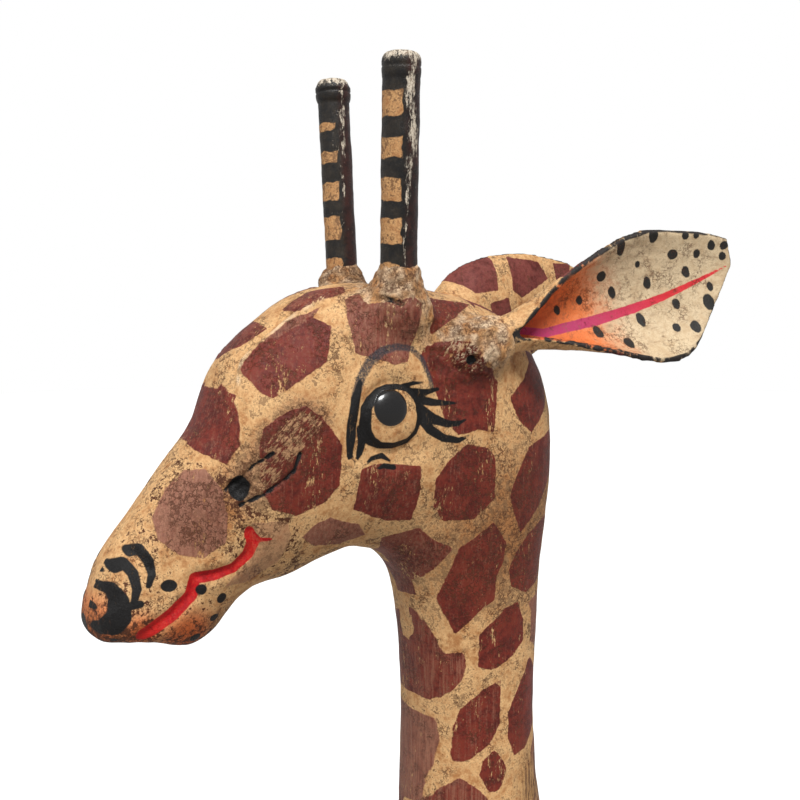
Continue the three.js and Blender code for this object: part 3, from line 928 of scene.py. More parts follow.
def outline_depth(flat, corners):
    """How far inside a flat outline each point is, in mm; outside it is below 0."""
    far = np.full(len(flat), 1e9)
    inside = np.zeros(len(flat), bool)
    for a, b in zip(corners, np.roll(corners, -1, axis=0)):
        run = b - a
        share = np.clip(((flat - a) @ run) / (run @ run), 0, 1)
        far = np.minimum(far, np.linalg.norm(flat - a - share[:, None] * run, axis=1))
        crosses = (a[1] > flat[:, 1]) != (b[1] > flat[:, 1])
        rise = run[1] if abs(run[1]) > 1e-9 else 1e-9
        inside ^= crosses & (flat[:, 0] < a[0] + (flat[:, 1] - a[1]) * run[0] / rise)
    return np.where(inside, far, -far)


def surface_tree(mesh):
    """A search tree over a mesh, in mm on the drawing."""
    bm = bmesh.new()
    bm.from_mesh(mesh)
    bmesh.ops.scale(bm, vec=(1000, 1000, 1000), verts=bm.verts)
    bmesh.ops.translate(bm, vec=-Vector(ZERO), verts=bm.verts)
    tree = BVHTree.FromBMesh(bm)
    bm.free()
    return tree


def mirrored(p, n):
    """Places and facings on the left side. Those from the right side come a little shifted."""
    q, facing = p.copy(), n.copy()
    right = p[:, 0] < 0
    q[right, 0] *= -1
    facing[right, 0] *= -1
    q[right, 1] += 3.5 * np.sin(q[right, 2] / 21)
    q[right, 2] += 3.0 * np.sin(q[right, 1] / 17)
    return q, facing


def own_plane(corners, tree):
    """A patch's corners on the surface, their middle, the way it faces there and two flat axes."""
    hits = [tree.find_nearest(Vector(corner)) for corner in corners]
    points = np.array([hit[0] for hit in hits])
    normal = np.array(sum((hit[1] for hit in hits), Vector()).normalized())
    level = np.cross(normal, [0, 0, 1.0])
    level /= np.linalg.norm(level)
    return points, points.mean(axis=0), normal, np.array([level, np.cross(normal, level)]).T


def bare_gesso(p, q):
    """The depth inside the gesso that was smeared over the patches at the roots."""
    smear = outline_depth(q[:, 1:], np.array(PLASTER, float))
    smear = np.where(q[:, 0] > 20, smear, OUTSIDE) + 1.5 * lumps(p, 6, 21)
    collar = 20 - from_line(q, [HORN_FOOT, HORN_TIP]) + 2 * lumps(p, 7, 22)
    collar = np.where(q[:, 2] > 57 + 0.2 * (q[:, 1] + 19), collar, OUTSIDE)
    return np.maximum(smear, collar)


def lay_patches(mesh):
    """The depth inside the nearest listed patch and that patch's tone, at each vertex."""
    tree = surface_tree(mesh)
    p, n = drawn(mesh), outward(mesh)
    q, facing = mirrored(p, n)
    depth, tone = np.full(len(p), OUTSIDE), np.zeros(len(p))

    def lay(chosen, flat, outline, faded):
        index = np.flatnonzero(chosen)
        inside = outline_depth(flat[index], np.array(outline, float))
        better = inside > depth[index]
        depth[index[better]] = inside[better]
        tone[index[better]] = faded

    for corners, faded in PATCHES:
        if len(corners[0]) == 2:
            lay(facing[:, 0] > 0.1, q[:, 1:], corners, faded)
            continue
        over_the_middle = any(corner[0] < 0 for corner in corners)
        where, turned = (p, n) if over_the_middle else (q, facing)
        points, middle, normal, axes = own_plane(corners, tree)
        offset = where - middle
        near = (np.abs(offset @ normal) < PATCH_REACH) & (turned @ normal > 0.05)
        lay(near, offset @ axes, (points - middle) @ axes, faded)
    neck_front = (n[:, 1] < -0.1) & (p[:, 1] > -25) & (p[:, 2] < -85)
    for corners, faded in FRONT_PATCHES:
        lay(neck_front, p[:, [0, 2]], corners, faded)
    return np.minimum(depth, -bare_gesso(p, q)), tone


# %% [markdown]
# ## Patches that fill the rest
# Below and behind the drawn patches the pattern repeats down the neck, over the trunk and down
# the legs. There it comes from seeds strewn on the surface, no two closer than a patch is wide:
# each patch is the ground nearer to its own seed than to any other, less half of the cream net.


# %% Strewing seeds
PATCH_WIDTHS = [  # mm above the floor, and how wide a patch is there
    (0, 19), (60, 21), (200, 24), (420, 33), (700, 58), (900, 66), (1150, 50), (1400, 38),
]
AT_ONCE = 4000  # vertices measured in one go


def patch_width(p):
    """The width of a patch, in mm, at places on the drawing: large on the trunk, small below."""
    return np.interp(p[:, 2] + EYE_LEVEL, *zip(*PATCH_WIDTHS))


def strew(clouds, taken, seed):
    """Seeds picked from the vertices, each clear of the others and of the drawn patches."""
    rng = np.random.default_rng(seed)
    places = np.concatenate(clouds)
    depth = np.concatenate(taken)
    width = patch_width(places)
    free = np.flatnonzero(depth < -0.45 * width)
    rng.shuffle(free)
    seeds, widths = [], []
    for i in free:
        if seeds:
            gap = np.linalg.norm(np.array(seeds) - places[i], axis=1)
            if (gap < 0.5 * (np.array(widths) + width[i])).any():
                continue
        seeds.append(places[i])
        widths.append(width[i])
    return np.array(seeds), rng.uniform(-0.5, 0.6, len(seeds))


def fill_patches(p, seeds, seed_tones, net):
    """The depth inside the patch of the nearest seed, and its tone."""
    depth, tone = np.empty(len(p)), np.empty(len(p))
    for start in range(0, len(p), AT_ONCE):
        part = p[start:start + AT_ONCE]
        far = np.linalg.norm(part[:, None] - seeds[None], axis=2)
        order = np.argpartition(far, 5, axis=1)[:, :6]
        close = np.take_along_axis(far, order, 1)
        first = close.argmin(axis=1)
        own = order[np.arange(len(part)), first]
        own_far = close[np.arange(len(part)), first]
        apart = np.linalg.norm(seeds[order] - seeds[own][:, None], axis=2)
        with np.errstate(divide="ignore", invalid="ignore"):
            border = (close**2 - own_far[:, None] ** 2) / (2 * apart)
        border[apart < 1e-6] = 1e9
        width = patch_width(part)
        depth[start:start + AT_ONCE] = np.minimum(border.min(axis=1) - net / 2, 0.66 * width - own_far)
        tone[start:start + AT_ONCE] = seed_tones[own]
    return depth, tone


# %% [markdown]
# ## Trunk, legs and tail as clay
# These are plain carvings, so a coarser clay does. The glue line where a leg meets the trunk
# stays as a fine crack, because the leg is its own piece, pushed up until the two just touch.

# %% Clay for the body
LEG_NAMES = [f"leg_{end}_{side}" for end in ("front", "hind") for side in SIDES]
LEG_TOP = 700.0  # mm, the height of the glue line
LEG_PUSH = 2.4  # mm that a leg's top is pushed up against the trunk

trunk = clay("trunk", voxel_mm=4.5, rounds=4)
legs = {name: clay(name, voxel_mm=3.6, rounds=3) for name in LEG_NAMES}
tail = clay("tail", voxel_mm=2.4, rounds=3)


def work_body(obj, coarse, fine, seed):
    """The chisel's waves on a body piece."""
    p, n = drawn(obj.data), outward(obj.data)
    push = coarse * lumps(p, 38, seed) + fine * lumps(p, 12, seed + 1)
    put_back(obj.data, p + n * push[:, None])


work_body(trunk, 1.3, 0.4, 11)
for number, leg in enumerate(legs.values()):
    work_body(leg, 0.7, 0.3, 13 + number)
    p = drawn(leg.data)
    height = p[:, 2] + EYE_LEVEL
    p[:, 2] += LEG_PUSH * np.clip((height - (LEG_TOP - 8)) / 6, 0, 1)
    p[:, 2] = np.where(height < 6, np.maximum(p[:, 2], -EYE_LEVEL), p[:, 2])  # no sole below the floor
    put_back(leg.data, p)
work_body(tail, 0.3, 0.3, 18)
print("body clay", {o.name: len(o.data.polygons) for o in (trunk, tail, *legs.values())})

# %% [markdown]
# ## Painting the layers
# A painter's stroke is a chain of short runs, each with its own width. Its layer holds how far a
# vertex lies inside the stroke, so a stroke can end in a point, as a loaded brush lifted off.


# %% Brush strokes
def stroke(flat, path):
    """The depth inside a brush stroke. A row of its path is y, z and the stroke's width there."""
    best = np.full(len(flat), OUTSIDE)
    for (ay, az, aw), (by, bz, bw) in zip(path, path[1:]):
        a, run = np.array([ay, az]), np.array([by - ay, bz - az])
        share = np.clip(((flat - a) @ run) / (run @ run), 0, 1)
        far = np.linalg.norm(flat - a - share[:, None] * run, axis=1)
        best = np.maximum(best, (aw + (bw - aw) * share) / 2 - far)
    return best


def dot(flat, y, z, width, tall=1.0):
    """The depth inside a round dab of a brush."""
    off = (flat - [y, z]) / [1, tall]
    return width / 2 - np.linalg.norm(off, axis=1)


EYE_RING = [
    (-45, -3.5, 5.6), (-44.5, 3, 5.4), (-42, 7, 4.8), (-37.5, 10.8, 4), (-32.5, 12.8, 3.2),
    (-27, 13, 2.8), (-21, 11.6, 3.2), (-16.5, 7.5, 4), (-14.4, 2.5, 4), (-14.8, -3, 3.4),
    (-17, -10.5, 3), (-21.5, -14.5, 3.2), (-30, -16.2, 3.4), (-37, -15.6, 3.8), (-41.5, -13, 4.8),
    (-44.6, -8.5, 5.6), (-45, -3.5, 5.6),
]
INK_STROKES = [
    EYE_RING,
    [(-46.5, -7, 5), (-45.9, -13.8, 4.6), (-46.8, -19, 3.4), (-49.4, -24.5, 0.8)],
    [(-52.2, -20.5, 3), (-51.9, -12, 4.8), (-51.4, -3, 5), (-49.7, 8, 4.6), (-47.2, 16, 2.4)],
    [(-23, 13.1, 2.6), (-18.4, 14.2, 2.2), (-12.5, 14.6, 0.8)],
    [(-18, 9.6, 4.6), (-11.5, 9.4, 3.4), (-3.5, 10.6, 1.8)],
    [(-15, 6, 4.4), (-7.6, 4.1, 4), (0, 3.2, 2.6), (7, 2.8, 1.2)],
    [(-14, 0.4, 6), (-6.8, -4.4, 5.4), (1.2, -7.4, 3.8), (8, -7.8, 2.6), (13, -6, 1)],
    [(-14, -2.2, 5.4), (-8.9, -9.5, 5), (-0.8, -14.6, 4.2), (8.4, -16.6, 3.2), (15.4, -14.6, 1)],
    [(-44, -25.4, 1), (-40.2, -22.2, 2.4), (-34.6, -21.2, 3), (-30.2, -24.2, 1.2)],
    [(-38.8, -28.4, 1.0), (-33.5, -26.4, 2.6), (-28.2, -27.6, 3)],
    [(-154, -59, 4.8), (-150, -58, 4.8), (-147, -63, 4.6), (-146, -69, 3.6), (-148, -74, 2.6)],
    [(-161, -66, 5), (-157, -64, 5), (-154, -68, 4.8), (-153, -75, 4.2), (-155, -82, 2.6)],
    [(-167.5, -75, 4), (-163, -75, 6), (-160.5, -80, 8), (-161, -87, 10), (-164, -91, 10), (-168, -93, 6.5)],
    [(-157, -83, 3), (-152, -82, 3.5)],
]
BROW = [
    (-49.4, 10, 4.4), (-46.9, 17.5, 4.4), (-41.4, 25.6, 4.4), (-33.6, 31, 4.2), (-26, 32.6, 3.6),
    (-18.3, 31.4, 3), (-12.3, 26.3, 3), (-9.3, 18.4, 2.8), (-7.5, 11.4, 2.4),
]
LIP_BARB = [(-101, -55, 5), (-96, -58, 2.6), (-90, -58.5, 1.2)]
MUZZLE_DABS = [
    (-166, -68, 4, 0.8), (-171, -84, 5, 0.7), (-139, -75, 7.5, 0.75), (-124, -79, 5.2, 1.0),
    (-113, -86, 5.4, 1.0), (-116, -96, 5, 0.8), (-125, -105, 6, 0.8), (-163, -99, 3, 0.7),
    (-145, -104, 3, 0.6),
]


def paint_eye_and_mouth(p):
    """The layers of black, red and orange on the head."""
    flat = p[:, 1:]
    cheek = np.where(np.abs(p[:, 0]) > 6, 0.0, OUTSIDE)
    ink = np.max([stroke(flat, rows) for rows in INK_STROKES], axis=0)
    ink = np.maximum(ink, np.max([dot(flat, *d) for d in MUZZLE_DABS], axis=0))
    nose_tip = dot(p[:, [0, 2]], 0, -97, 13) + np.where(p[:, 1] < -166, 0, OUTSIDE)
    layers = {
        "ink": np.maximum(ink + cheek, nose_tip),
        "pupil": dot(flat, *PUPIL, 2 * PUPIL_RADIUS) + cheek,
        "brow": stroke(flat, BROW) + cheek,
        "lips": np.maximum(stroke(flat, MOUTH), stroke(flat, LIP_BARB)) + cheek * 0.5,
    }
    snout = np.clip((-140 - p[:, 1]) / 26, 0, 1) * np.clip((-64 - p[:, 2]) / 20, 0, 1)
    lower_lip = np.clip(1 - np.linalg.norm(flat - [-130, -102], axis=1) / 26, 0, 1)
    upper_lip = np.clip(1 - np.linalg.norm(flat - [-152, -96], axis=1) / 20, 0, 1)
    layers["blush"] = np.clip(np.max([0.6 * snout, 1.0 * lower_lip, 0.9 * upper_lip], axis=0), 0, 1)
    return layers


def wear_of_head(p):
    """Where the head's paint is rubbed off, whitened, darkened or down to the wood. Part of the whitening is
    painted highlight, and part of the darkening is painted shade.
    """
    left = on_left(p)
    flat = p[:, 1:]
    only_left = p[:, 0] > 0

    # The cheek is rubbed in slanting streaks, and the paint round the horns and ears has flaked.
    streaks = lumps(np.stack([p[:, 0], p[:, 1] + p[:, 2], (p[:, 1] - p[:, 2]) / 4], 1), 5, 51)
    cheek = np.clip(1.5 - from_line(flat, CHEEK_WEAR) / 11, 0, 1)
    worn = only_left * np.clip(cheek * (0.55 + 0.14 * streaks), 0, 0.6)
    horn_root = near_point(left, *HORN_SMEAR)
    ear_root = near_point(left, (48, 14, 34), 30)
    worn = np.maximum(worn, 0.6 * horn_root**0.4)
    worn = np.maximum(worn, 0.56 * ear_root**0.4)

    # White gesso shows on the cheek. Round the roots the white is partly gesso and partly painted highlight,
    # and along the edge of the crown it is painted highlight.
    white = np.clip(0.45 + 1.5 * lumps(p, 5, 52), 0, 1) * (0.6 * horn_root**0.5 + 0.7 * ear_root**0.5)
    white = np.maximum(white, 0.15 * cheek * only_left)
    ridge = 0.5 + 0.9 * lumps(p, 5, 53)
    white = np.maximum(white, np.clip(ridge, 0, 0.9) * bell(from_line(left, CROWN_EDGE), 1.3))

    # The back of the neck is rubbed down to the wood.
    bare = np.clip((p[:, 1] - 52) / 12, 0, 1) * np.clip((-195 - p[:, 2]) / 25, 0, 1)
    bare *= np.clip((p[:, 2] + 330) / 40, 0, 1) * only_left

    # Painted shade darkens the coat under the jaw and under the nose. The nape is darker too, and dirt has
    # settled round the hole and the roots.
    under = np.clip((-88 - p[:, 2]) / 30, 0, 1) * np.clip((-60 - p[:, 1]) / 30, 0, 1)
    shade_under_nose = 0.8 * np.clip((-150 - p[:, 1]) / 15, 0, 1) * np.clip((-84 - p[:, 2]) / 12, 0, 1)
    nape = 0.6 * near_point(left, (30, 45, -70), 70)
    by_hole = 0.55 * near_point(p, (34, -105, -32), 22) + 0.6 * near_point(p, (30, -126, -44), 26)
    roots = np.maximum(0.45 * horn_root**0.4, 0.4 * ear_root**0.5)
    soiled = np.max([roots, 0.8 * cheek * only_left, by_hole, 0.4 * under, shade_under_nose, nape], axis=0)
    return {"worn": worn, "white": white, "grain_shows": 0.8 * bare, "soiled": np.clip(soiled, 0, 1)}


def painted_shade_in_holes_and_cracks(p):
    """Painted shade: the holes and the cracks are painted black inside."""
    flat = p[:, 1:]
    only_left = np.where(p[:, 0] > 12, 0, OUTSIDE)
    hole = 5 - np.linalg.norm((flat - WORN_HOLE) / [1, 1.15], axis=1) + 0.9 * lumps(p, 5, 5)
    breadth = 0.6 + 1.1 * lumps(p, 8, 66) - 0.8 * lumps(p, 3, 6)
    cracks = [breadth - from_line(flat, crack) for crack in LONG_CRACKS]
    by_ear = dot(flat, *EAR_HOLE, 5)
    by_horn = 1.2 - from_line(p, HORN_SPLIT) - 0.6 * lumps(p, 4, 8)
    return np.max([hole, *cracks, by_ear, by_horn], axis=0) + only_left


COAT_LAYERS = {
    **dict.fromkeys(("patch", "ink", "brow", "lips", "pupil", "hoof"), OUTSIDE),
    **dict.fromkeys(("tone", "blush", "worn", "white", "soiled", "grain_shows"), 0.0),
}


def paint(obj, layers, material=painted_coat):
    """Writes the layers on a piece's vertices and gives it its finish."""
    known = dict(COAT_LAYERS, **layers) if material is painted_coat else layers
    for name, values in known.items():
        attribute = obj.data.attributes.new(name, "FLOAT", "POINT")
        full = np.broadcast_to(values, (len(obj.data.vertices),)).astype(np.float32)
        attribute.data.foreach_set("value", full)
    obj.data.materials.clear()
    obj.data.materials.append(material)


# %% Patches over every piece
HOOF_HEIGHT = 46.0  # mm
TAIL_TUFT = 600.0  # mm above the floor, where the black tuft starts
body_pieces = [trunk, *legs.values()]
clouds = [drawn(piece.data) for piece in (head, *body_pieces)]
drawn_depth, drawn_tone = lay_patches(head.data)


def room_to_fill(p):
    """Above 0 on the ridge behind the eyes, the nape and the neck. The rest was drawn one by one."""
    x, y, z = p.T
    off_the_sides = np.maximum.reduce([14 - np.abs(x), -112 - z, y - 66])
    return np.minimum(off_the_sides, y + 20) + 2 * lumps(p, 9, 81)


def eye_room(p):
    """Below 0 on the eyeballs, which have no patches."""
    return np.linalg.norm(p[:, 1:] - [-31, -2], axis=1) - 15 + 60 * (np.abs(p[:, 0]) < 12)


room = room_to_fill(clouds[0])
taken = [np.where(room < 8, 0, drawn_depth)] + [np.full(len(cloud), OUTSIDE) for cloud in clouds[1:]]
seeds, seed_tones = strew(clouds, taken, seed=5)
print(len(seeds), "strewn patches")


# %% Painting the head
def paint_head(p):
    """All the layers of the head and neck."""
    filled, filled_tone = fill_patches(p, seeds, seed_tones, NET)
    filled = np.minimum.reduce([filled, -drawn_depth - NET, room])
    layers = {
        "patch": np.minimum(np.maximum(drawn_depth, filled), eye_room(p)),
        "tone": np.where(drawn_depth > filled, drawn_tone, filled_tone),
        **paint_eye_and_mouth(p),
        **wear_of_head(p),
    }
    # The ink layer also takes the painted shade inside the holes and the cracks.
    layers["ink"] = np.maximum(layers["ink"], painted_shade_in_holes_and_cracks(p))
    paint(head, layers)


paint_head(clouds[0])
print("head painted")


# %% Painting the body
def paint_body(piece, p):
    """Patches that fade down the legs, and a dark hoof under each leg."""
    depth, tone = fill_patches(p, seeds, seed_tones, NET + 1)
    height = p[:, 2] + EYE_LEVEL
    fading = np.interp(height, [60, 320], [0.4, 0])
    hoof = OUTSIDE if piece is trunk else HOOF_HEIGHT - height
    paint(piece, {"patch": depth - 2 * fading, "tone": tone + fading, "hoof": hoof})


for piece, cloud in zip(body_pieces, clouds[1:]):
    paint_body(piece, cloud)
paint(tail, {"ink": TAIL_TUFT - EYE_LEVEL - drawn(tail.data)[:, 2]})
print("body painted")

# %% [markdown]
# ## Horns
# A horn is a turned rod with a knob at its tip, let into the head with a tenon. Here it is one
# outline, spun round its axis: the knob has a groove under it, and the shaft is a little uneven,
# because the gesso on it was laid by hand. The front half has cream and black bands, and the rest
# is black that has gone brown, with a row of chips down the line between them.

# %% Turning the horns
HORN_RADIUS = {"left": 9.5, "right": 8.8}
HORN_LENGTH = (HORN_TIP - HORN_FOOT).length
KNOB_FLARE = {"left": 0.05, "right": 0.12}  # how much wider than the shaft a knob is
KNOB_SIDE = [  # the share of that flare, and mm from the tip; its dip is the groove
    (0.3, -12.6), (0.7, -11.4), (0.95, -10), (1.0, -8.8), (0.95, -8.2), (0.3, -7.6), (0.95, -7), (1.0, -5.2),
]
KNOB_TOP = [  # the share of the shaft's radius, and mm from the tip
    (1.02, -3.4), (0.95, -1.9), (0.82, -0.8), (0.62, -0.2), (0.4, 0), (0.2, 0.1),
]
HORN_BANDS = {  # mm from the tip where black and cream change over
    "left": [19, 31.5, 41, 51, 60, 71, 79.5, 92, 101.5],
    "right": [25, 29, 40.5, 46.5, 57, 66.5, 75, 88, 98],
}
BAND_SIDE = Vector((-0.5, -0.87, 0))  # the banded half faces this way


def turned_horn(side):
    """A horn with its knob and its tenon."""
    radius = HORN_RADIUS[side]
    shaft = [(radius, h) for h in np.linspace(-14, HORN_LENGTH - 13, 90)]
    flare = KNOB_FLARE[side]
    knob = [(radius * (1 + flare * share), h) for share, h in KNOB_SIDE]
    knob += [(radius * share, h) for share, h in KNOB_TOP]
    outline = [(0, -14), *shaft, *[(r, HORN_LENGTH + h) for r, h in knob], (0, HORN_LENGTH + 0.1)]
    mesh = bpy.data.meshes.new(f"turned_horn_{side}")
    bm = bmesh.new()
    spun(bm, outline, along(HORN_FOOT, HORN_TIP, SIDES[side]), steps=56)
    bm.to_mesh(mesh)
    bm.free()
    horn = in_scene(f"turned_horn_{side}", mesh)
    mesh.shade_smooth()
    p, n = drawn(mesh), outward(mesh)
    put_back(mesh, p + n * (0.35 * lumps(p, 11, 31) + 0.16 * lumps(p, 3.5, 32) - 0.2)[:, None])
    return horn


def band_layers(horn, side):
    """How far inside black each vertex is, and how near the chipped line."""
    p = drawn(horn.data)
    foot, tip = [np.array(v) * [SIDES[side], 1, 1] for v in (HORN_FOOT, HORN_TIP)]
    axis = (tip - foot) / np.linalg.norm(tip - foot)
    down = HORN_LENGTH - (p - foot) @ axis
    edges = np.array([-HORN_LENGTH, *HORN_BANDS[side], 3 * HORN_LENGTH])
    gap = np.abs(down[:, None] - edges[None])
    number = (down[:, None] > edges[None]).sum(axis=1)
    black_band = np.where(number % 2 == 1, 1, -1) * gap.min(axis=1)
    off = p - foot - ((p - foot) @ axis)[:, None] * axis
    facing = off @ np.array(BAND_SIDE)
    black = np.maximum(black_band, -facing - 1)
    wander = facing + np.interp(down, [0, 60, 80], [6, 5, 2.5])
    wander = wander + 3.0 * lumps(p * [1, 1, 0.6], 9, 61) + 1.2 * lumps(p, 3, 62)
    breadth = np.interp(down, [0, 10, 30, 62, 75, 100], [4, 6.5, 7, 6, 2, 1.4])
    if side == "right":
        breadth = 0.3 * breadth
    chips = bell(wander, breadth) * np.clip(0.58 + 0.2 * lumps(p * [1, 1, 0.5], 6, 63), 0, 0.68)
    chips = np.maximum(chips, 0.62 * np.clip(1.3 - down / 7, 0, 1) ** 0.5)
    back = np.clip(-facing / 3 - 0.6, 0, 1)
    return {"ink": black + 1.1 * lumps(p, 5, 65), "worn": chips, "brown": back}


# %% The horns' finish
def build_horn_paint():
    finish, tree, shader, place = new_finish("painted_horn")
    dirt = place_group(tree, grime, Place=place, Pore_size=1.0, Amount=0.7)
    cream = mix(tree, step(tree, dirt["Clouds"], 0.38, 0.6), HORN_CREAM_DEEP, HORN_CREAM)
    cream = mix(tree, times(tree, dirt["Dirt"], 0.8), cream, DIRT)
    streaked = mottle(tree, place, 1.9, 5.0, 0.8, stretch=(1, 1, 0.35))
    chipped = step(tree, plus(tree, layer(tree, "worn"), streaked), 1.0, 1.1)
    scratches = place_group(tree, flaking, Place=place, Fleck_size=1.2, Amount=0.14)["Bare"]
    bare = larger(tree, chipped, scratches)
    black = brush_cover(tree, place, "ink", 2.0)
    faded = mix(tree, step(tree, dirt["Clouds"], 0.4, 0.65), BLACK, HORN_BLACK_FADED)
    painted = mix(tree, black, cream, faded)
    brown = mix(tree, step(tree, dirt["Clouds"], 0.4, 0.6), HORN_BROWN_DEEP, HORN_BROWN)
    painted = mix(tree, times(tree, layer(tree, "brown"), black), painted, brown)
    old_gesso = mix(tree, step(tree, dirt["Relief"], 0.36, 0.54), OLD_GESSO_DEEP, OLD_GESSO)
    painted = mix(tree, times(tree, bare, 0.92), painted, old_gesso)
    tree.links.new(painted, shader.inputs["Base Color"])
    dull = step(tree, black, 0.0, 1.0, to=(0.6, 0.36))
    tree.links.new(plus(tree, dull, times(tree, bare, 0.3), clamp=True), shader.inputs["Roughness"])
    shader.inputs["Specular IOR Level"].default_value = 0.35
    relief = plus(tree, times(tree, dirt["Relief"], 0.6), times(tree, bare, -0.5))
    raise_surface(tree, shader, relief, 0.5)
    return finish


painted_horn = build_horn_paint()
horns = {side: turned_horn(side) for side in SIDES}
for side, horn in horns.items():
    paint(horn, band_layers(horn, side), painted_horn)
print("horns", [len(h.data.polygons) for h in horns.values()])

# %% [markdown]
# ## Ears
# An ear is a thin leaf, rolled nearly shut at its foot and opening to a wide blade, probably
# rawhide or thin wood under gesso. It is a finer clay than the rest. Inside it is cream with
# black dabs, an orange glow near the root and one tapering red stripe; outside it carries on the
# maroon patches. A thin black line runs round its rim.

# %% Clay for the ears
# Each row: the distance from the foot, how far in the back lies, the roll's radius, and how far
# the upper and the lower edge lie from the back, measured round the roll.
EAR_FOOT = [(0, 10, 10, 29, 27), (22, 11, 11, 32, 31)]
EAR_TIP = [
    (114, 12, 60, 31, 50), (127, 10.5, 68, 26, 42), (141, 9.5, 72, 21, 29), (153, 9, 74, 16, 17),
    (163, 8, 75, 10, 6),
]
EAR_ROLL = {
    "left": [*EAR_FOOT, (45, 13, 18, 32, 40), (70, 14, 28.5, 31, 46), (95, 13, 46, 33, 52), *EAR_TIP],
    "right": [*EAR_FOOT, (45, 13, 20, 38, 40), (66, 14, 36, 39, 46), (92, 13, 50, 36, 52), *EAR_TIP],
}
EAR_THICK = 4.0
EAR_SPOTS = [
    [(50, 24), (56, 36), (72, 40), (85, 31), (77, 12), (58, 14)],
    [(97, 30), (123, 22), (129, 9), (97, 3), (90, 9)],
    [(138, 18), (156, 14), (152, 2), (137, 4)],
    [(67, 6), (84, 6), (86, -8), (66, -10)],
    [(92, -4), (122, 2), (126, -12), (98, -20)],
    [(56, -15), (84, -14), (90, -28), (66, -30)],
    [(96, -26), (122, -18), (130, -30), (112, -44), (96, -38)],
    [(132, -4), (152, -3), (150, -14), (134, -22)],
    [(34, 4), (50, 8), (52, -6), (36, -8)],
]
EAR_DABS = [  # reach, height, width and how tall the dab is
    (116, 25, 6, 1.4), (94, 25, 5.5, 1.9), (105, 12, 3.2, 1.2), (127, 11, 6.5, 0.9),
    (142, 7, 4.5, 1.1), (152, 9, 5, 1.2), (133, -1, 5, 1.3), (109, 0, 4.6, 1.6), (87, 1, 4.4, 1.6),
    (82, 12, 6.2, 0.9), (67, 3, 4, 1.4), (145, -13, 4.2, 1.3), (141, -21, 7.2, 1.3),
    (122, -16, 4.6, 1.3), (98, -18, 5, 1.6), (116, -28, 5, 1.0), (127, -31, 6, 1.1),
    (70, -16, 5.2, 1.3), (83, -26, 6, 0.9), (136, 19, 5, 0.9), (143, 17, 4, 0.9), (52, 2, 4, 1.5),
    (160, 6.5, 6, 0.8), (157.5, 1, 4.5, 1.1),
]
EAR_STRIPE = [(24, 0, 4), (40, -7, 4.5), (72, -10.2, 5.6), (96, -11, 5), (116, -10.4, 4), (132, -8.5, 3),
              (146, -7, 2), (159, -5.3, 0.6)]


def ear_clay(side):
    """An ear, whose leaf waves as one sheet so that it keeps its thickness."""
    ear = clay(f"ear_{side}", voxel_mm=1.25, rounds=3)
    p, n = drawn(ear.data), outward(ear.data)
    waves = 0.5 * lumps(p, 15, 41) + 0.25 * lumps(p, 5, 42)
    leaf = np.linalg.norm(p * [SIDES[side], 1, 1] - np.array(EAR_ROOT), axis=1) > 30
    shared = np.array([1.0, 0, 0]) * (leaf * waves * 1.2)[:, None]
    put_back(ear.data, p + shared + n * (0.18 * lumps(p, 4, 43))[:, None])
    return ear


def ear_layers(ear, side):
    """The layers of an ear, found by how far along and how far round the roll each vertex lies."""
    own = np.array([ear_frame(side).inverted() @ v.co for v in ear.data.vertices])
    reach, flat = own[:, 1], own[:, 1:]
    rows = np.array(EAR_ROLL[side], float).T
    back, radius, upper, lower = (np.interp(reach, rows[0], row) for row in rows[1:])
    centre_x = radius - back
    out = np.hypot(own[:, 0] - centre_x, own[:, 2])
    inner = (radius - EAR_THICK / 2 - out) / (EAR_THICK / 2)
    inner = np.where(reach > 16, inner, -1.0)
    turn = np.arctan2(own[:, 2], centre_x - own[:, 0]) * radius
    rim = np.minimum.reduce([upper - turn, lower + turn, rows[0, -1] - reach])
    spots = np.max([outline_depth(flat, np.array(s, float)) for s in EAR_SPOTS], axis=0)
    dabs = np.max([dot(flat, *d) for d in EAR_DABS], axis=0)
    glow = np.clip(1.25 - (reach + np.abs(own[:, 2] + 8) * 0.1) / 82, 0, 1)
    return {
        "inner": np.clip(inner, -1, 1),
        "rim": 0.9 - rim + 0.5 * lumps(own, 9, 71),
        "patch": spots,
        "ink": dabs,
        "stripe": stroke(flat, EAR_STRIPE),
        "root_end": np.clip((reach - 60) / 60, 0, 1),
        "blush": glow,
    }


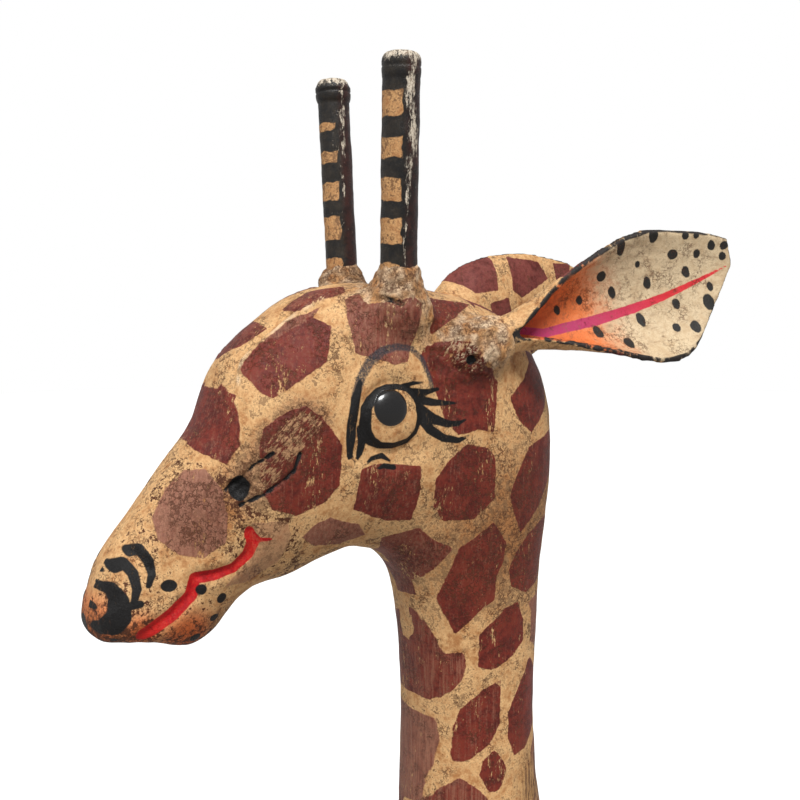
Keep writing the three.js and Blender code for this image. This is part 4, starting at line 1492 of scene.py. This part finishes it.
# %% The ears' finish
def build_ear_paint():
    finish, tree, shader, place = new_finish("painted_ear")
    dirt = place_group(tree, grime, Place=place, Pore_size=1.2, Amount=0.55)
    clouds = dirt["Clouds"]
    cracks = place_group(tree, crackle, Place=place, Flake_size=2.8, Where=0.5)["Cracks"]
    outside = mix(tree, step(tree, clouds, 0.36, 0.6), CREAM_DEEP, CREAM)
    maroon = mix(tree, step(tree, clouds, 0.38, 0.6), MAROON_DEEP, EAR_MAROON)

    outside = mix(tree, brush_cover(tree, place, "patch", 2.2), outside, maroon)
    inside = mix(tree, step(tree, clouds, 0.35, 0.62), EAR_CREAM_DEEP, EAR_CREAM)
    streaks = mottle(tree, place, 2.2, 4.0, 0.65, stretch=(1.0, 0.12, 1.0))
    inside = mix(tree, step(tree, streaks, 0.52, 0.7, to=(0, 0.45)), inside, EAR_STREAK)
    glow = plus(tree, layer(tree, "blush"), minus(tree, clouds, 0.5))
    inside = mix(tree, step(tree, glow, 0.12, 0.5), inside, EAR_ORANGE)
    inside = mix(tree, step(tree, glow, 0.45, 0.85, to=(0, 0.6)), inside, EAR_RUST)
    stripe = mix(tree, layer(tree, "root_end"), STRIPE_PINK, STRIPE_RED)
    inside = mix(tree, brush_cover(tree, place, "stripe", 0.9), inside, stripe)
    inside = mix(tree, times(tree, dirt["Dirt"], 0.4), inside, EAR_DIRT)
    inside = mix(tree, brush_cover(tree, place, "ink", 1.6), inside, DAB_BLACK)
    outside = mix(tree, times(tree, dirt["Dirt"], 0.7), outside, DIRT)
    painted = mix(tree, step(tree, layer(tree, "inner"), -0.15, 0.15), outside, inside)
    painted = mix(tree, times(tree, cracks, 0.6), painted, DIRT)
    rim = brush_cover(tree, place, "rim", 0.9, 0.5)
    rim_left = times(tree, rim, step(tree, mottle(tree, place, 6.0), 0.35, 0.5))
    painted = mix(tree, rim_left, painted, RIM_BLACK)
    tree.links.new(painted, shader.inputs["Base Color"])
    tree.links.new(step(tree, dirt["Relief"], 0.3, 0.7, to=(0.52, 0.7)), shader.inputs["Roughness"])
    shader.inputs["Specular IOR Level"].default_value = 0.3
    relief = plus(tree, times(tree, dirt["Relief"], 0.7), times(tree, cracks, -0.5))
    raise_surface(tree, shader, relief, 0.4)
    return finish


painted_ear = build_ear_paint()
ears = {side: ear_clay(side) for side in SIDES}
for side, ear in ears.items():
    paint(ear, ear_layers(ear, side), painted_ear)
print("ears", [len(e.data.polygons) for e in ears.values()])


# %% [markdown]
# ## Bare wood and the floor
# The pegs inside the joints are plain split wood. They don't show once the statue is together,
# but they have their finish for anyone who takes it apart.

# %% Bare wood
def build_bare_wood():
    finish, tree, shader, place = new_finish("bare_wood")
    lines = place_group(tree, grain, Place=place, Line_width=1.6)["Lines"]
    wood = mix(tree, step(tree, lines, 0.38, 0.62), PEG_WOOD_DEEP, PEG_WOOD)
    tree.links.new(wood, shader.inputs["Base Color"])
    tree.links.new(step(tree, lines, 0.3, 0.7, to=(0.62, 0.8)), shader.inputs["Roughness"])
    raise_surface(tree, shader, lines, 0.3)
    return finish


bare_wood = build_bare_wood()
pegs = [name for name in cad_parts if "peg" in name]
for name in pegs:
    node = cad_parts[name]
    node.data.materials.clear()
    node.data.materials.append(bare_wood)
print(len(pegs), "pegs")

# %% Floor paint
floor_paint = bpy.data.materials.new("floor_paint")
floor_paint.use_nodes = True
floor_tree = floor_paint.node_tree
seen = add(floor_tree, "ShaderNodeLightPath").outputs["Is Camera Ray"]
floor_tone = mix(floor_tree, seen, FLOOR_LIT, FLOOR_SEEN)
floor_tree.links.new(floor_tone, floor_tree.nodes["Principled BSDF"].inputs["Base Color"])
floor_tree.nodes["Principled BSDF"].inputs["Roughness"].default_value = 0.9
floor.data.materials.append(floor_paint)

# %% [markdown]
# ## Handing the pieces over
# Nothing on the statue moves, so every piece rides on the one body, and the CAD solids that the
# new pieces stand for are hidden.

# %% Riding and hiding
FILLERS = [f"{part}_filler_{side}" for part in ("horn", "ear") for side in SIDES]
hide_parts("head_and_neck", *FILLERS)
for piece in (trunk, tail, *legs.values(), *horns.values(), *ears.values()):
    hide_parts(piece.name.split("_", 1)[1])
for piece in (head, trunk, tail, *legs.values(), *horns.values(), *ears.values()):
    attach(piece, "root")
